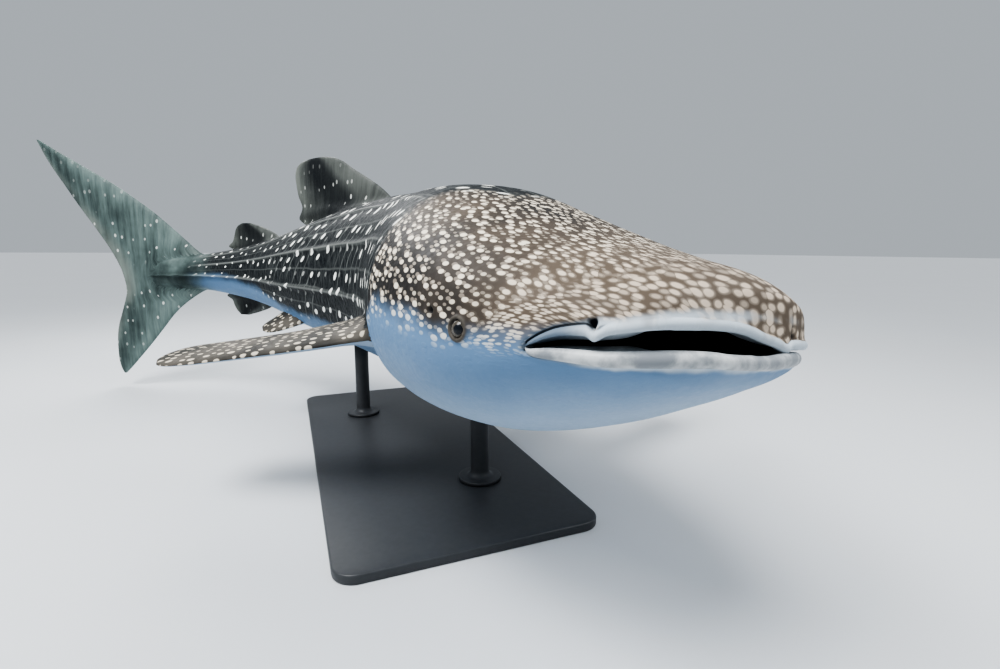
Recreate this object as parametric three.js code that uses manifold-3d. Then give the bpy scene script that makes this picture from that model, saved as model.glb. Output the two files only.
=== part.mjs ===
// Whale shark at life size, bent as it swims, held on a plain display stand.
// Millimetres, +Z up, the head towards +X and the animal's right side towards -Y.
// The origin is the middle of the underside of the stand's base.
import * as THREE from "three";
import { mergeVertices } from "three/addons/utils/BufferGeometryUtils.js";
import Module from "manifold-3d";

const wasm = await Module();
wasm.setup();

// Driving sizes. "at" is a distance behind the snout, measured along the body's axis.
const LENGTH = 6000; // snout to the tip of the upper tail lobe
const AXIS_HEIGHT = 950; // axis above the floor, so that the lower tail lobe clears it
const GAP = 0.35; // left between nodes that touch

// The body's outline: top and belly measured from the axis, and half the width.
const OUTLINE = [
  { at: -12, top: 40, belly: 2, half: 120 },
  { at: 0, top: 58, belly: -14, half: 201 },
  { at: 36, top: 138, belly: -80, half: 292 },
  { at: 108, top: 181, belly: -132, half: 341 },
  { at: 240, top: 209, belly: -203, half: 411 },
  { at: 420, top: 250, belly: -291, half: 483 },
  { at: 660, top: 314, belly: -378, half: 535 },
  { at: 960, top: 394, belly: -431, half: 565 },
  { at: 1320, top: 483, belly: -477, half: 541 },
  { at: 1800, top: 521, belly: -490, half: 497 },
  { at: 2280, top: 522, belly: -464, half: 450 },
  { at: 2760, top: 475, belly: -408, half: 392 },
  { at: 3240, top: 390, belly: -343, half: 317 },
  { at: 3720, top: 296, belly: -254, half: 235 },
  { at: 4200, top: 210, belly: -175, half: 168 },
  { at: 4620, top: 150, belly: -124, half: 126 },
  { at: 4860, top: 122, belly: -115, half: 104 },
  { at: 5020, top: 80, belly: -112, half: 62 },
  { at: 5130, top: 10, belly: -112, half: 22 },
];
const UPPER_FULLNESS = 2.3; // 2 is an ellipse, more is boxier
const LOWER_FULLNESS = 2.2;
const WIDEST_LEVEL = 0.3; // height of the widest line, as a share of top plus belly

// The bend: heading of the axis, in degrees to the left of +X.
const BEND = [
  { at: 0, heading: 7 },
  { at: 780, heading: 2 },
  { at: 1220, heading: -1.5 },
  { at: 1500, heading: 0 },
  { at: 1860, heading: 9 },
  { at: 2220, heading: 21 },
  { at: 2580, heading: 29.1 },
  { at: 2880, heading: 31.1 },
  { at: 3300, heading: 29.4 },
  { at: 3600, heading: 31.7 },
  { at: 3960, heading: 40 },
  { at: 4680, heading: 64 },
  { at: 5040, heading: 71 },
  { at: 5400, heading: 74 },
];
// The bank: the head leans to its left side, and the lean fades out along the trunk.
const BANK = [
  { at: 720, lean: 4.6 },
  { at: 2160, lean: 0 },
];

// Three low ridges along each flank, at an angle round the body from the top of the back.
// The lowest grows into the keel beside the tail stock.
const RIDGE_FOOT = 4;
const RIDGES = [
  {
    angle: 35,
    height: [
      { at: 1100, up: 0 },
      { at: 1700, up: 15 },
      { at: 3700, up: 12 },
      { at: 4500, up: 0 },
    ],
  },
  {
    angle: 65,
    height: [
      { at: 1300, up: 0 },
      { at: 1900, up: 15 },
      { at: 3900, up: 10 },
      { at: 4600, up: 0 },
    ],
  },
  {
    angle: 95,
    height: [
      { at: 1700, up: 0 },
      { at: 2500, up: 14 },
      { at: 4000, up: 24 },
      { at: 4700, up: 42 },
      { at: 5100, up: 12 },
    ],
  },
];
// Angles of the lengthwise lines of the surface on one side, ridge crests and feet among them.
const FLANK_LINES = [13, 23, 31, 35, 39, 48, 57, 61, 65, 69, 80, 91, 95, 99, 110, 122, 134, 147, 163];

// Five gill slits on each side, each the free edge of a flap with a groove behind it.
const GILLS = { count: 5, first: 935, pitch: 84, lip: 10, raised: 9, sunk: 16 };
const GILL_ANGLES = { from: 60, to: 134, fade: 12 };

// Where the body is parted into nodes.
const PARTED = [
  { name: "head", to: 870 },
  { name: "gill_region", to: 1400 },
  { name: "trunk_front", to: 2400 },
  { name: "trunk_rear", to: 3640 },
  { name: "tail_stock", to: 5130 },
];
const RING_STEP = 125; // longest step between rings of the trunk

// Mouth: the opening between the lips and the hollow behind it. The lips part halfway up it.
// Beside the nostrils the hollow stops at the cheek, and the lips part in a groove outside it.
const MOUTH_CORNER = 235;
const MOUTH = [
  { at: -60, upper: 54, lower: 2, half: 520 },
  { at: 22, upper: 52, lower: 2, half: 520 },
  { at: 50, upper: 38, lower: -1, half: 520 },
  { at: 91, upper: 24, lower: -8, half: 262 },
  { at: 154, upper: 11, lower: -15, half: 300 },
  { at: 204, upper: -5, lower: -21, half: 300 },
  { at: MOUTH_CORNER, upper: -19, lower: -27, half: 290 },
  { at: 262, upper: -14, lower: -32, half: 270 },
  { at: 330, upper: -12, lower: -40, half: 230 },
  { at: 400, upper: -38, lower: -50, half: 110 },
];
const CHEEK_GROOVE = 30; // depth of the groove between the lips outside the cheek
// The lower jaw is drawn in under its lip, by this much on each side.
const TUCK = [
  { at: 0, by: 24 },
  { at: 60, by: 27 },
  { at: 150, by: 16 },
  { at: MOUTH_CORNER, by: 0 },
];
const TUCKED = { from: 90, full: 100, none: 122 }; // angles round the body
const JAW_HINGE_DROP = 0.712; // how steeply the parting runs down from the corner to the throat
// The rolls of the lips, from a corner to the middle: distance behind the snout, out, up, radius.
const LOWER_LIP = [
  { at: 240, out: 396, up: -36, radius: 8 },
  { at: 196, out: 375, up: -31, radius: 13 },
  { at: 147, out: 345, up: -27, radius: 15 },
  { at: 85, out: 305, up: -23, radius: 17 },
  { at: 43, out: 255, up: -16, radius: 18 },
  { at: 12, out: 190, up: -11, radius: 19 },
  { at: -7, out: 120, up: -10, radius: 18 },
  { at: -15, out: 60, up: -12, radius: 17 },
];
const UPPER_LIP = [
  { at: 226, out: 396, up: -12, radius: 6 },
  { at: 163, out: 364, up: 20, radius: 9 },
  { at: 104, out: 330, up: 32, radius: 11 },
  { at: 55, out: 296, up: 45, radius: 12 },
  { at: 24, out: 246, up: 58, radius: 13 },
  { at: 8, out: 168, up: 64, radius: 13 },
  { at: 3, out: 84, up: 66, radius: 13 },
];

// Small parts of the head, by distance behind the snout and angle round the body.
const EYE = { at: 410, angle: 90, radius: 23, proud: 8, ring: 30, ringThick: 9 };
const SPIRACLE = { at: 525, angle: 85, radius: 13, deep: 12 };
const NOSTRIL = { at: 100, angle: 81, radius: 13, deep: 14 };
const NASAL_FLAP = { at: 88, angle: 86.5, wide: 20, thick: 13, tall: 20 };

// Fins on the middle line: at each level above the axis, leading and trailing edge and thickness.
const DORSAL_FIRST = [
  { up: 330, lead: 2180, trail: 3320, thick: 90 },
  { up: 385, lead: 2280, trail: 3420, thick: 84 },
  { up: 410, lead: 2310, trail: 3498, thick: 80 },
  { up: 450, lead: 2360, trail: 3462, thick: 76 },
  { up: 500, lead: 2425, trail: 3430, thick: 70 },
  { up: 580, lead: 2550, trail: 3470, thick: 60 },
  { up: 660, lead: 2705, trail: 3490, thick: 50 },
  { up: 720, lead: 2830, trail: 3497, thick: 41 },
  { up: 772, lead: 2925, trail: 3478, thick: 33 },
  { up: 805, lead: 3020, trail: 3425, thick: 26 },
  { up: 822, lead: 3130, trail: 3330, thick: 16 },
];
const DORSAL_SECOND = [
  { up: 165, lead: 3540, trail: 4230, thick: 56 },
  { up: 200, lead: 3600, trail: 4270, thick: 52 },
  { up: 216, lead: 3625, trail: 4330, thick: 48 },
  { up: 262, lead: 3690, trail: 4276, thick: 42 },
  { up: 313, lead: 3772, trail: 4254, thick: 35 },
  { up: 352, lead: 3872, trail: 4240, thick: 29 },
  { up: 385, lead: 3985, trail: 4214, thick: 22 },
  { up: 406, lead: 4075, trail: 4168, thick: 12 },
];
const ANAL = [
  { up: -110, lead: 3700, trail: 4290, thick: 48 },
  { up: -150, lead: 3750, trail: 4330, thick: 44 },
  { up: -168, lead: 3775, trail: 4385, thick: 42 },
  { up: -210, lead: 3830, trail: 4322, thick: 36 },
  { up: -250, lead: 3900, trail: 4308, thick: 30 },
  { up: -290, lead: 4020, trail: 4286, thick: 23 },
  { up: -326, lead: 4160, trail: 4248, thick: 12 },
];
const CAUDAL = [
  { up: 1035, lead: 5738, trail: 5756, thick: 8 },
  { up: 960, lead: 5625, trail: 5727, thick: 16 },
  { up: 889, lead: 5513, trail: 5697, thick: 24 },
  { up: 824, lead: 5410, trail: 5665, thick: 30 },
  { up: 729, lead: 5257, trail: 5612, thick: 36 },
  { up: 620, lead: 5105, trail: 5553, thick: 42 },
  { up: 503, lead: 4953, trail: 5487, thick: 50 },
  { up: 345, lead: 4775, trail: 5393, thick: 60 },
  { up: 162, lead: 4577, trail: 5295, thick: 72 },
  { up: 0, lead: 4450, trail: 5236, thick: 80 },
  { up: -134, lead: 4560, trail: 5219, thick: 70 },
  { up: -220, lead: 4740, trail: 5240, thick: 56 },
  { up: -330, lead: 4846, trail: 5278, thick: 48 },
  { up: -457, lead: 4953, trail: 5320, thick: 40 },
  { up: -587, lead: 5063, trail: 5338, thick: 33 },
  { up: -707, lead: 5170, trail: 5341, thick: 26 },
  { up: -790, lead: 5245, trail: 5330, thick: 18 },
  { up: -838, lead: 5292, trail: 5312, thick: 8 },
];
const TAIL_NOTCH = { at: 5219, up: -134, slope: -0.164 };

// Paired fins: where the root is, how the fin is turned, and its outline outwards along the span.
const PECTORAL = {
  at: 1305, angle: 109.5, sweep: 26, droop: 8.3, pitch: 6.6,
  rows: [
    { span: -110, lead: 0, trail: 310, thick: 78 },
    { span: 20, lead: 0, trail: 330, thick: 74 },
    { span: 70, lead: -4, trail: 425, thick: 70 },
    { span: 150, lead: -10, trail: 385, thick: 62 },
    { span: 255, lead: -18, trail: 322, thick: 54 },
    { span: 508, lead: -28, trail: 258, thick: 42 },
    { span: 762, lead: -27, trail: 250, thick: 32 },
    { span: 902, lead: -12, trail: 246, thick: 26 },
    { span: 975, lead: 20, trail: 230, thick: 20 },
    { span: 1020, lead: 80, trail: 184, thick: 12 },
  ],
};
const PELVIC = {
  at: 3110, angle: 139.5, sweep: 38, droop: 26, pitch: 12,
  rows: [
    { span: -70, lead: 0, trail: 210, thick: 44 },
    { span: 10, lead: 2, trail: 225, thick: 40 },
    { span: 45, lead: 6, trail: 290, thick: 36 },
    { span: 110, lead: 22, trail: 240, thick: 30 },
    { span: 190, lead: 48, trail: 215, thick: 23 },
    { span: 250, lead: 84, trail: 200, thick: 16 },
    { span: 280, lead: 125, trail: 180, thick: 9 },
  ],
};
const FIN_EDGE = 4; // thickness of a fin's trailing edge

// Stand: a flat base and two rods under the trunk.
const RODS = [{ name: "stand_rod_front", at: 1480 }, { name: "stand_rod_rear", at: 2820 }];
const ROD = { radius: 45, foot: 105, footHigh: 18, fillet: 30 };
const BASE = { length: 2400, width: 1100, height: 40, corner: 90, edge: 8 };

const radians = THREE.MathUtils.degToRad;

// A smooth function through one column of a table, which never swings past its rows.
function through(rows, key, along = "at") {
  const x = rows.map((row) => row[along]);
  const y = rows.map((row) => row[key]);
  const slope = x.slice(1).map((end, i) => (y[i + 1] - y[i]) / (end - x[i]));
  const tangent = y.map((_, i) => {
    const before = slope[i - 1] ?? slope[i];
    const after = slope[i] ?? slope[i - 1];
    return before * after <= 0 ? 0 : (2 * before * after) / (before + after);
  });
  return (where) => {
    const v = THREE.MathUtils.clamp(where, x[0], x.at(-1));
    let i = 0;
    while (i < x.length - 2 && v > x[i + 1]) i += 1;
    const step = x[i + 1] - x[i];
    const t = (v - x[i]) / step;
    return (
      y[i] * (1 - t) ** 2 * (1 + 2 * t) +
      y[i + 1] * t ** 2 * (3 - 2 * t) +
      step * t * (1 - t) * (tangent[i] * (1 - t) - tangent[i + 1] * t)
    );
  };
}

// The axis: a line in a level plane, drawn in short steps from the snout.
const heading = through(BEND, "heading");
const lean = through(BANK, "lean");
const AXIS_STEP = 10;
const axis = [new THREE.Vector2(0, 0)];
for (let at = 0; at < LENGTH; at += AXIS_STEP) {
  const turn = radians(heading(at + AXIS_STEP / 2));
  const last = axis.at(-1);
  const forward = new THREE.Vector2(Math.cos(turn), Math.sin(turn));
  axis.push(last.clone().addScaledVector(forward, -AXIS_STEP));
}
function axisAt(at) {
  const place = at / AXIS_STEP;
  const i = THREE.MathUtils.clamp(Math.floor(place), 0, axis.length - 2);
  return axis[i].clone().lerp(axis[i + 1], place - i);
}
// The stand's middle lies under the point halfway between its rods.
const middle = axisAt(RODS[0].at).lerp(axisAt(RODS[1].at), 0.5);

// A point of the bent body from its straight place: behind the snout, to the left, and up.
function place(at, left, up) {
  const turn = radians(heading(at));
  const bank = radians(lean(at));
  const side = left * Math.cos(bank) + up * Math.sin(bank);
  const rise = up * Math.cos(bank) - left * Math.sin(bank);
  const p = axisAt(at).sub(middle);
  return new THREE.Vector3(p.x - side * Math.sin(turn), p.y + side * Math.cos(turn), AXIS_HEIGHT + rise);
}

// Closed solids from rings of points, and the step from a three.js geometry to a solid.
function solidFrom(points, triangles) {
  const make = (triVerts) =>
    new wasm.Manifold(
      new wasm.Mesh({
        numProp: 3,
        vertProperties: Float32Array.from(points.flatMap((p) => [p.x, p.y, p.z])),
        triVerts: Uint32Array.from(triVerts.flat()),
      }),
    );
  const made = make(triangles);
  return made.volume() > 0 ? made : make(triangles.map(([a, b, c]) => [a, c, b]));
}
// The second half of each ring is split the other way, so that both sides of a form are alike.
function loft(rings) {
  const count = rings[0].length;
  const points = rings.flat();
  const triangles = [];
  for (let r = 0; r < rings.length - 1; r += 1) {
    for (let i = 0; i < count; i += 1) {
      const a = r * count + i;
      const b = r * count + ((i + 1) % count);
      const c = b + count;
      const d = a + count;
      if (i < count / 2) triangles.push([a, b, c], [a, c, d]);
      else triangles.push([a, b, d], [b, c, d]);
    }
  }
  for (const [first, turned] of [[0, true], [(rings.length - 1) * count, false]]) {
    const ring = points.slice(first, first + count);
    points.push(ring.reduce((sum, p) => sum.add(p), new THREE.Vector3()).divideScalar(count));
    for (let i = 0; i < count; i += 1) {
      const pair = [first + i, first + ((i + 1) % count)];
      triangles.push([...(turned ? pair.reverse() : pair), points.length - 1]);
    }
  }
  return solidFrom(points, triangles);
}
function solidOf(geometry, matrix) {
  const bare = geometry.clone().deleteAttribute("normal").deleteAttribute("uv");
  const merged = mergeVertices(bare.applyMatrix4(matrix), 1e-3);
  const position = merged.getAttribute("position");
  const pointAt = (_, i) => new THREE.Vector3().fromBufferAttribute(position, i);
  const points = Array.from({ length: position.count }, pointAt);
  const index = merged.index.array;
  const triangles = [];
  for (let i = 0; i < index.length; i += 3) triangles.push([index[i], index[i + 1], index[i + 2]]);
  return solidFrom(points, triangles);
}
const largest = (solid) => solid.decompose().sort((a, b) => b.volume() - a.volume())[0];
const levelOf = (solid) => (solid.boundingBox().min[2] + solid.boundingBox().max[2]) / 2;

// The body's skin.
const topAt = through(OUTLINE, "top");
const bellyAt = through(OUTLINE, "belly");
const halfAt = through(OUTLINE, "half");
const ridgeHeight = RIDGES.map((ridge) => through(ridge.height, "up"));
const rounded = (value, fullness) => Math.sign(value) * Math.abs(value) ** (2 / fullness);
const sideLines = [0, ...FLANK_LINES, 180];
const bodyLines = [...sideLines, ...FLANK_LINES.toReversed().map((angle) => -angle)];

function ridgeAt(at, angle) {
  const i = RIDGES.findIndex((ridge) => Math.abs(ridge.angle - angle) < RIDGE_FOOT / 2);
  return i < 0 ? 0 : ridgeHeight[i](at);
}
// How far a gill flap lifts the skin, or its slit sinks it.
function gillAt(at, angle) {
  const { from, to, fade } = GILL_ANGLES;
  const fading = Math.min((angle - from) / fade, (to - angle) / fade, 1);
  const i = Math.round((at - GILLS.first - GILLS.pitch / 4) / GILLS.pitch);
  if (fading <= 0 || i < 0 || i >= GILLS.count) return 0;
  const past = at - GILLS.first - i * GILLS.pitch;
  if (Math.abs(past) < GILLS.lip / 2) return past < 0 ? GILLS.raised * fading : -GILLS.sunk * fading;
  return 0;
}
// How far the lower jaw is drawn in under its lip.
const tuckBy = through(TUCK, "by");
function tuckAt(at, angle) {
  if (angle < TUCKED.from) return 0;
  const fading = (TUCKED.none - angle) / (TUCKED.none - TUCKED.full);
  return tuckBy(at) * THREE.MathUtils.clamp(fading, 0, 1);
}
// A point on the skin at an angle from the top, positive on the right side.
function skin(at, angle, grow = 0) {
  const top = topAt(at);
  const belly = bellyAt(at);
  const widest = WIDEST_LEVEL * (top + belly);
  const turn = radians(angle);
  const upper = Math.cos(turn) > 0;
  const fullness = upper ? UPPER_FULLNESS : LOWER_FULLNESS;
  const raised = ridgeAt(at, Math.abs(angle)) + gillAt(at, Math.abs(angle)) + grow;
  const reach = (upper ? top - widest : widest - belly) + raised;
  const out = rounded(Math.sin(turn), fullness) * (halfAt(at) + raised - tuckAt(at, Math.abs(angle)));
  return place(at, -out, widest + rounded(Math.cos(turn), fullness) * reach);
}
const ring = (at, grow = 0) => bodyLines.map((angle) => skin(at, angle, grow));

// Stations of the rings: close together on the snout and at each gill slit.
const SNOUT_STATIONS = [-12, 0, 12, 36, 70, 108, 165, 240, 330, 420, 530, 660, 780];
const gillStations = Array.from({ length: GILLS.count }, (_, i) => {
  const slit = GILLS.first + i * GILLS.pitch;
  return [slit - GILLS.lip / 2 + 1, slit + GILLS.lip / 2 - 1, slit + GILLS.pitch / 2];
}).flat();
const firstStation = OUTLINE[0].at;
const lastStation = OUTLINE.at(-1).at;
const partedAt = PARTED.map((length) => length.to);
const marks = [...SNOUT_STATIONS, ...gillStations, ...partedAt].sort((a, b) => a - b);
const stations = marks.flatMap((mark, i) => {
  if (i === marks.length - 1) return [mark];
  const step = marks[i + 1] - mark;
  const parts = Math.max(1, Math.round(step / RING_STEP));
  return Array.from({ length: parts }, (_, k) => mark + (step * k) / parts);
});
function bodyLength(from, to, grow = 0) {
  const between = stations.filter((at) => at > from + 1 && at < to - 1);
  return loft([from, ...between, to].map((at) => ring(at, grow)));
}

// Things that follow the head: a thin sheet across the body, the mouth's hollow, a lip's roll.
function sheet(levels) {
  const reach = 800;
  const row = ({ at, up }) => [
    place(at, -reach, up + GAP / 2),
    place(at, reach, up + GAP / 2),
    place(at, reach, up - GAP / 2),
    place(at, -reach, up - GAP / 2),
  ];
  return loft(levels.map(row));
}
function mouthHollow() {
  const across = [-1, -0.92, -0.75, -0.45, 0, 0.45, 0.75, 0.92, 1];
  const edge = ({ at, half, upper, lower }, sign) => {
    const level = (upper + lower) / 2;
    const high = (sign * (upper - lower)) / 2;
    return across.map((x) => place(at, x * half, level + high * (1 - x ** 4)));
  };
  return loft(MOUTH.map((row) => [...edge(row, 1), ...edge(row, -1).reverse().slice(1, -1)]));
}
function cheekGroove(side) {
  const beside = MOUTH.filter((row) => row.at > 0 && row.at <= MOUTH_CORNER);
  return loft(
    beside.map(({ at, upper, lower }) => {
      const inner = halfAt(at) - CHEEK_GROOVE;
      const outer = halfAt(at) + 3 * CHEEK_GROOVE;
      const corners = [[inner, upper], [outer, upper], [outer, lower], [inner, lower]];
      return corners.map(([out, up]) => place(at, -side * out, up));
    }),
  );
}
function lipRoll(rows) {
  const sides = 7;
  const mirrored = rows.toReversed().map((row) => ({ ...row, out: -row.out }));
  const middleRow = { ...rows.at(-1), out: 0 };
  const path = [...rows, middleRow, ...mirrored];
  const curve = new THREE.CatmullRomCurve3(path.map((row) => place(row.at, -row.out, row.up)));
  const rings = [];
  const steps = path.length - 1;
  for (let i = 0; i <= steps; i += 1) {
    const t = i / steps;
    const along = curve.getTangent(t);
    const side = new THREE.Vector3().crossVectors(along, new THREE.Vector3(0, 0, 1)).normalize();
    const up = new THREE.Vector3().crossVectors(side, along);
    const { radius } = path[i];
    const middlePoint = curve.getPoint(t);
    rings.push(
      Array.from({ length: sides }, (_, k) => {
        const turn = (k / sides) * 2 * Math.PI;
        return middlePoint
          .clone()
          .addScaledVector(side, radius * Math.cos(turn))
          .addScaledVector(up, radius * Math.sin(turn));
      }),
    );
  }
  return loft(rings);
}

// A frame on the skin: its Z axis stands out of the body, its Y axis points towards the back.
function frameOnSkin({ at, angle }, side, depth) {
  const turned = side * angle;
  const here = skin(at, turned);
  const aft = skin(at + 5, turned).sub(skin(at - 5, turned)).normalize();
  const down = skin(at, turned + side).sub(skin(at, turned - side)).normalize();
  const out = new THREE.Vector3().crossVectors(aft, down).multiplyScalar(-side).normalize();
  if (out.dot(here.clone().sub(place(at, 0, 0))) < 0) out.negate();
  const up = new THREE.Vector3().crossVectors(out, aft).normalize();
  return new THREE.Matrix4().makeBasis(aft, up, out).setPosition(here.addScaledVector(out, -depth));
}
const ball = (radius, around = 16, down = 10) => new THREE.SphereGeometry(radius, around, down);
const SIDES = [
  { name: "right", side: 1 },
  { name: "left", side: -1 },
];

function makeHead() {
  let head = bodyLength(firstStation, PARTED[0].to - GAP / 2);
  head = head.add(lipRoll(UPPER_LIP)).add(lipRoll(LOWER_LIP));
  const eyes = [];
  for (const { name, side } of SIDES) {
    const socket = frameOnSkin(EYE, side, EYE.radius - EYE.proud);
    const rim = frameOnSkin(EYE, side, 0);
    head = head.add(solidOf(new THREE.TorusGeometry(EYE.ring, EYE.ringThick, 6, 16), rim));
    head = head.subtract(solidOf(ball(EYE.radius + GAP), socket));
    eyes.push({ name: "eye_" + name, solid: solidOf(ball(EYE.radius), socket) });
  }
  head = head.subtract(mouthHollow());
  for (const { side } of SIDES) head = head.subtract(cheekGroove(side));
  for (const { side } of SIDES) {
    const { wide, tall, thick } = NASAL_FLAP;
    const flap = new THREE.SphereGeometry(1, 8, 6).scale(wide, tall, thick);
    head = head.add(solidOf(flap, frameOnSkin(NASAL_FLAP, side, 2)));
    for (const hole of [SPIRACLE, NOSTRIL]) {
      const sunk = frameOnSkin(hole, side, hole.radius - hole.deep);
      head = head.subtract(solidOf(ball(hole.radius, 10, 6), sunk));
    }
  }
  const hingeBack = PARTED[0].to - 40;
  const lipLine = MOUTH.filter((row) => row.at <= MOUTH_CORNER).map((row) => ({
    at: row.at,
    up: (row.upper + row.lower) / 2,
  }));
  const hingeDrop = (hingeBack - MOUTH_CORNER) * JAW_HINGE_DROP;
  const parting = [...lipLine, { at: hingeBack, up: lipLine.at(-1).up - hingeDrop }];
  const [upper, lower] = head
    .subtract(sheet(parting))
    .decompose()
    .sort((a, b) => b.volume() - a.volume());
  return [{ name: "head", solid: upper }, { name: "lower_jaw", solid: lower }, ...eyes];
}

// The body grown by the gap, which trims each fin's root and each rod's top to the skin.
const bodyMask = bodyLength(firstStation, lastStation, GAP);

// A fin's section: rounded in front, thin behind, with the same points on both faces.
const CHORD_POINTS = [0.03, 0.12, 0.3, 0.5, 0.72, 0.9];
function finSection(row, put) {
  const chord = row.trail - row.lead;
  const half = (x) => FIN_EDGE / 2 + (row.thick - FIN_EDGE) * 1.3 * Math.sqrt(x) * (1 - x);
  const face = (sign) => [...CHORD_POINTS, 1].map((x) => put(row, row.lead + x * chord, sign * half(x)));
  return [put(row, row.lead, 0), ...face(1), ...face(-1).reverse()];
}
function finLoft(rows, put) {
  return loft(rows.map((row) => finSection(row, put)));
}
const onMiddleLine = (row, at, side) => place(at, side, row.up);
const rooted = (solid) => largest(solid.subtract(bodyMask));

function makePairedFin(fin, side) {
  const root = skin(fin.at, side * fin.angle);
  const turn = radians(heading(fin.at));
  const forward = new THREE.Vector3(Math.cos(turn), Math.sin(turn), 0);
  const outward = new THREE.Vector3(side * Math.sin(turn), -side * Math.cos(turn), 0);
  const up = new THREE.Vector3(0, 0, 1);
  const [sweep, droop, pitch] = [fin.sweep, fin.droop, fin.pitch].map(radians);
  const span = outward
    .clone()
    .multiplyScalar(Math.cos(sweep) * Math.cos(droop))
    .addScaledVector(forward, -Math.sin(sweep) * Math.cos(droop))
    .addScaledVector(up, -Math.sin(droop));
  const level = forward.clone().negate().addScaledVector(span, forward.dot(span)).normalize();
  const above = new THREE.Vector3().crossVectors(level, span).multiplyScalar(side).normalize();
  if (above.z < 0) above.negate();
  const chord = level.clone().multiplyScalar(Math.cos(pitch)).addScaledVector(above, Math.sin(pitch));
  const normal = above.clone().multiplyScalar(Math.cos(pitch)).addScaledVector(level, -Math.sin(pitch));
  const put = (row, back, thick) => {
    const onSpan = root.clone().addScaledVector(span, row.span);
    return onSpan.addScaledVector(chord, back).addScaledVector(normal, thick);
  };
  return rooted(finLoft(fin.rows, put));
}

function makeTailFin() {
  const { at, up, slope } = TAIL_NOTCH;
  const front = PARTED[3].to;
  const behind = at + 200;
  const parting = [front, behind].map((where) => ({ at: where, up: up + (where - at) * slope }));
  const lobes = finLoft(CAUDAL, onMiddleLine)
    .subtract(bodyMask)
    .subtract(sheet(parting))
    .decompose()
    .sort((a, b) => b.volume() - a.volume())
    .slice(0, 2)
    .sort((a, b) => levelOf(b) - levelOf(a));
  return [
    { name: "caudal_fin_upper", solid: lobes[0] },
    { name: "caudal_fin_lower", solid: lobes[1] },
  ];
}

function makeRod(rod) {
  const under = place(rod.at, 0, 0);
  const { radius, foot, footHigh, fillet } = ROD;
  const profile = [
    [0, 0],
    [foot, 0],
    [foot, footHigh - 6],
    [foot - 6, footHigh],
    [radius + fillet, footHigh],
    [radius + fillet * 0.3, footHigh + fillet * 0.3],
    [radius, footHigh + fillet],
    [radius, AXIS_HEIGHT],
    [0, AXIS_HEIGHT],
  ].map(([x, y]) => new THREE.Vector2(x, y));
  const standing = new THREE.Matrix4()
    .makeTranslation(under.x, under.y, BASE.height + GAP)
    .multiply(new THREE.Matrix4().makeRotationX(Math.PI / 2));
  const below = solidOf(new THREE.LatheGeometry(profile, 16), standing).subtract(bodyMask).decompose();
  return below.sort((a, b) => levelOf(a) - levelOf(b))[0];
}

function makeBase() {
  const { length, width, height, corner, edge } = BASE;
  const [x, y] = [length / 2 - edge - corner, width / 2 - edge - corner];
  const outline = new THREE.Shape();
  outline.absarc(x, y, corner, 0, Math.PI / 2);
  outline.absarc(-x, y, corner, Math.PI / 2, Math.PI);
  outline.absarc(-x, -y, corner, Math.PI, 1.5 * Math.PI);
  outline.absarc(x, -y, corner, 1.5 * Math.PI, 2 * Math.PI);
  outline.closePath();
  const slab = new THREE.ExtrudeGeometry(outline, {
    depth: height - 2 * edge,
    bevelThickness: edge,
    bevelSize: edge,
    bevelSegments: 1,
    curveSegments: 4,
  });
  return solidOf(slab, new THREE.Matrix4().makeTranslation(0, 0, edge));
}

// Colours of the finished parts.
const MATERIALS = {
  skin: new THREE.MeshStandardMaterial({ color: 0x4d5358, roughness: 0.6, metalness: 0 }),
  lips: new THREE.MeshStandardMaterial({ color: 0xa9aeb0, roughness: 0.55, metalness: 0 }),
  fin: new THREE.MeshStandardMaterial({ color: 0x4a5654, roughness: 0.6, metalness: 0 }),
  eye: new THREE.MeshStandardMaterial({ color: 0x14161a, roughness: 0.12, metalness: 0 }),
  stand: new THREE.MeshStandardMaterial({ color: 0x2c2e31, roughness: 0.45, metalness: 0.3 }),
};

const whaleShark = new THREE.Group();
function addNode(name, solid, material) {
  const mesh = solid.getMesh();
  const geometry = new THREE.BufferGeometry();
  geometry.setAttribute("position", new THREE.BufferAttribute(Float32Array.from(mesh.vertProperties), 3));
  geometry.setIndex(new THREE.BufferAttribute(Uint32Array.from(mesh.triVerts), 1));
  const node = new THREE.Mesh(geometry, material);
  node.name = name;
  whaleShark.add(node);
}

for (const { name, solid } of makeHead()) {
  const material = name === "lower_jaw" ? MATERIALS.lips : MATERIALS.skin;
  addNode(name, solid, name.startsWith("eye") ? MATERIALS.eye : material);
}
for (let i = 1; i < PARTED.length; i += 1) {
  const end = i === PARTED.length - 1 ? lastStation : PARTED[i].to - GAP / 2;
  addNode(PARTED[i].name, bodyLength(PARTED[i - 1].to + GAP / 2, end), MATERIALS.skin);
}
addNode("dorsal_fin_first", rooted(finLoft(DORSAL_FIRST, onMiddleLine)), MATERIALS.fin);
addNode("dorsal_fin_second", rooted(finLoft(DORSAL_SECOND, onMiddleLine)), MATERIALS.fin);
addNode("anal_fin", rooted(finLoft(ANAL, onMiddleLine)), MATERIALS.fin);
for (const { name, solid } of makeTailFin()) addNode(name, solid, MATERIALS.fin);
for (const { name, side } of SIDES) {
  addNode("pectoral_fin_" + name, makePairedFin(PECTORAL, side), MATERIALS.fin);
  addNode("pelvic_fin_" + name, makePairedFin(PELVIC, side), MATERIALS.fin);
}
for (const rod of RODS) addNode(rod.name, makeRod(rod), MATERIALS.stand);
addNode("stand_base", makeBase(), MATERIALS.stand);

export default whaleShark;
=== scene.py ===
# A life-size whale shark, bent as it swims with its mouth a little open, on a plain display stand.
# Sizes are in millimetres and are turned into metres where the points are placed.
import math
import bmesh
import bpy
from mathutils import Matrix, Vector
from mathutils.bvhtree import BVHTree


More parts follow.
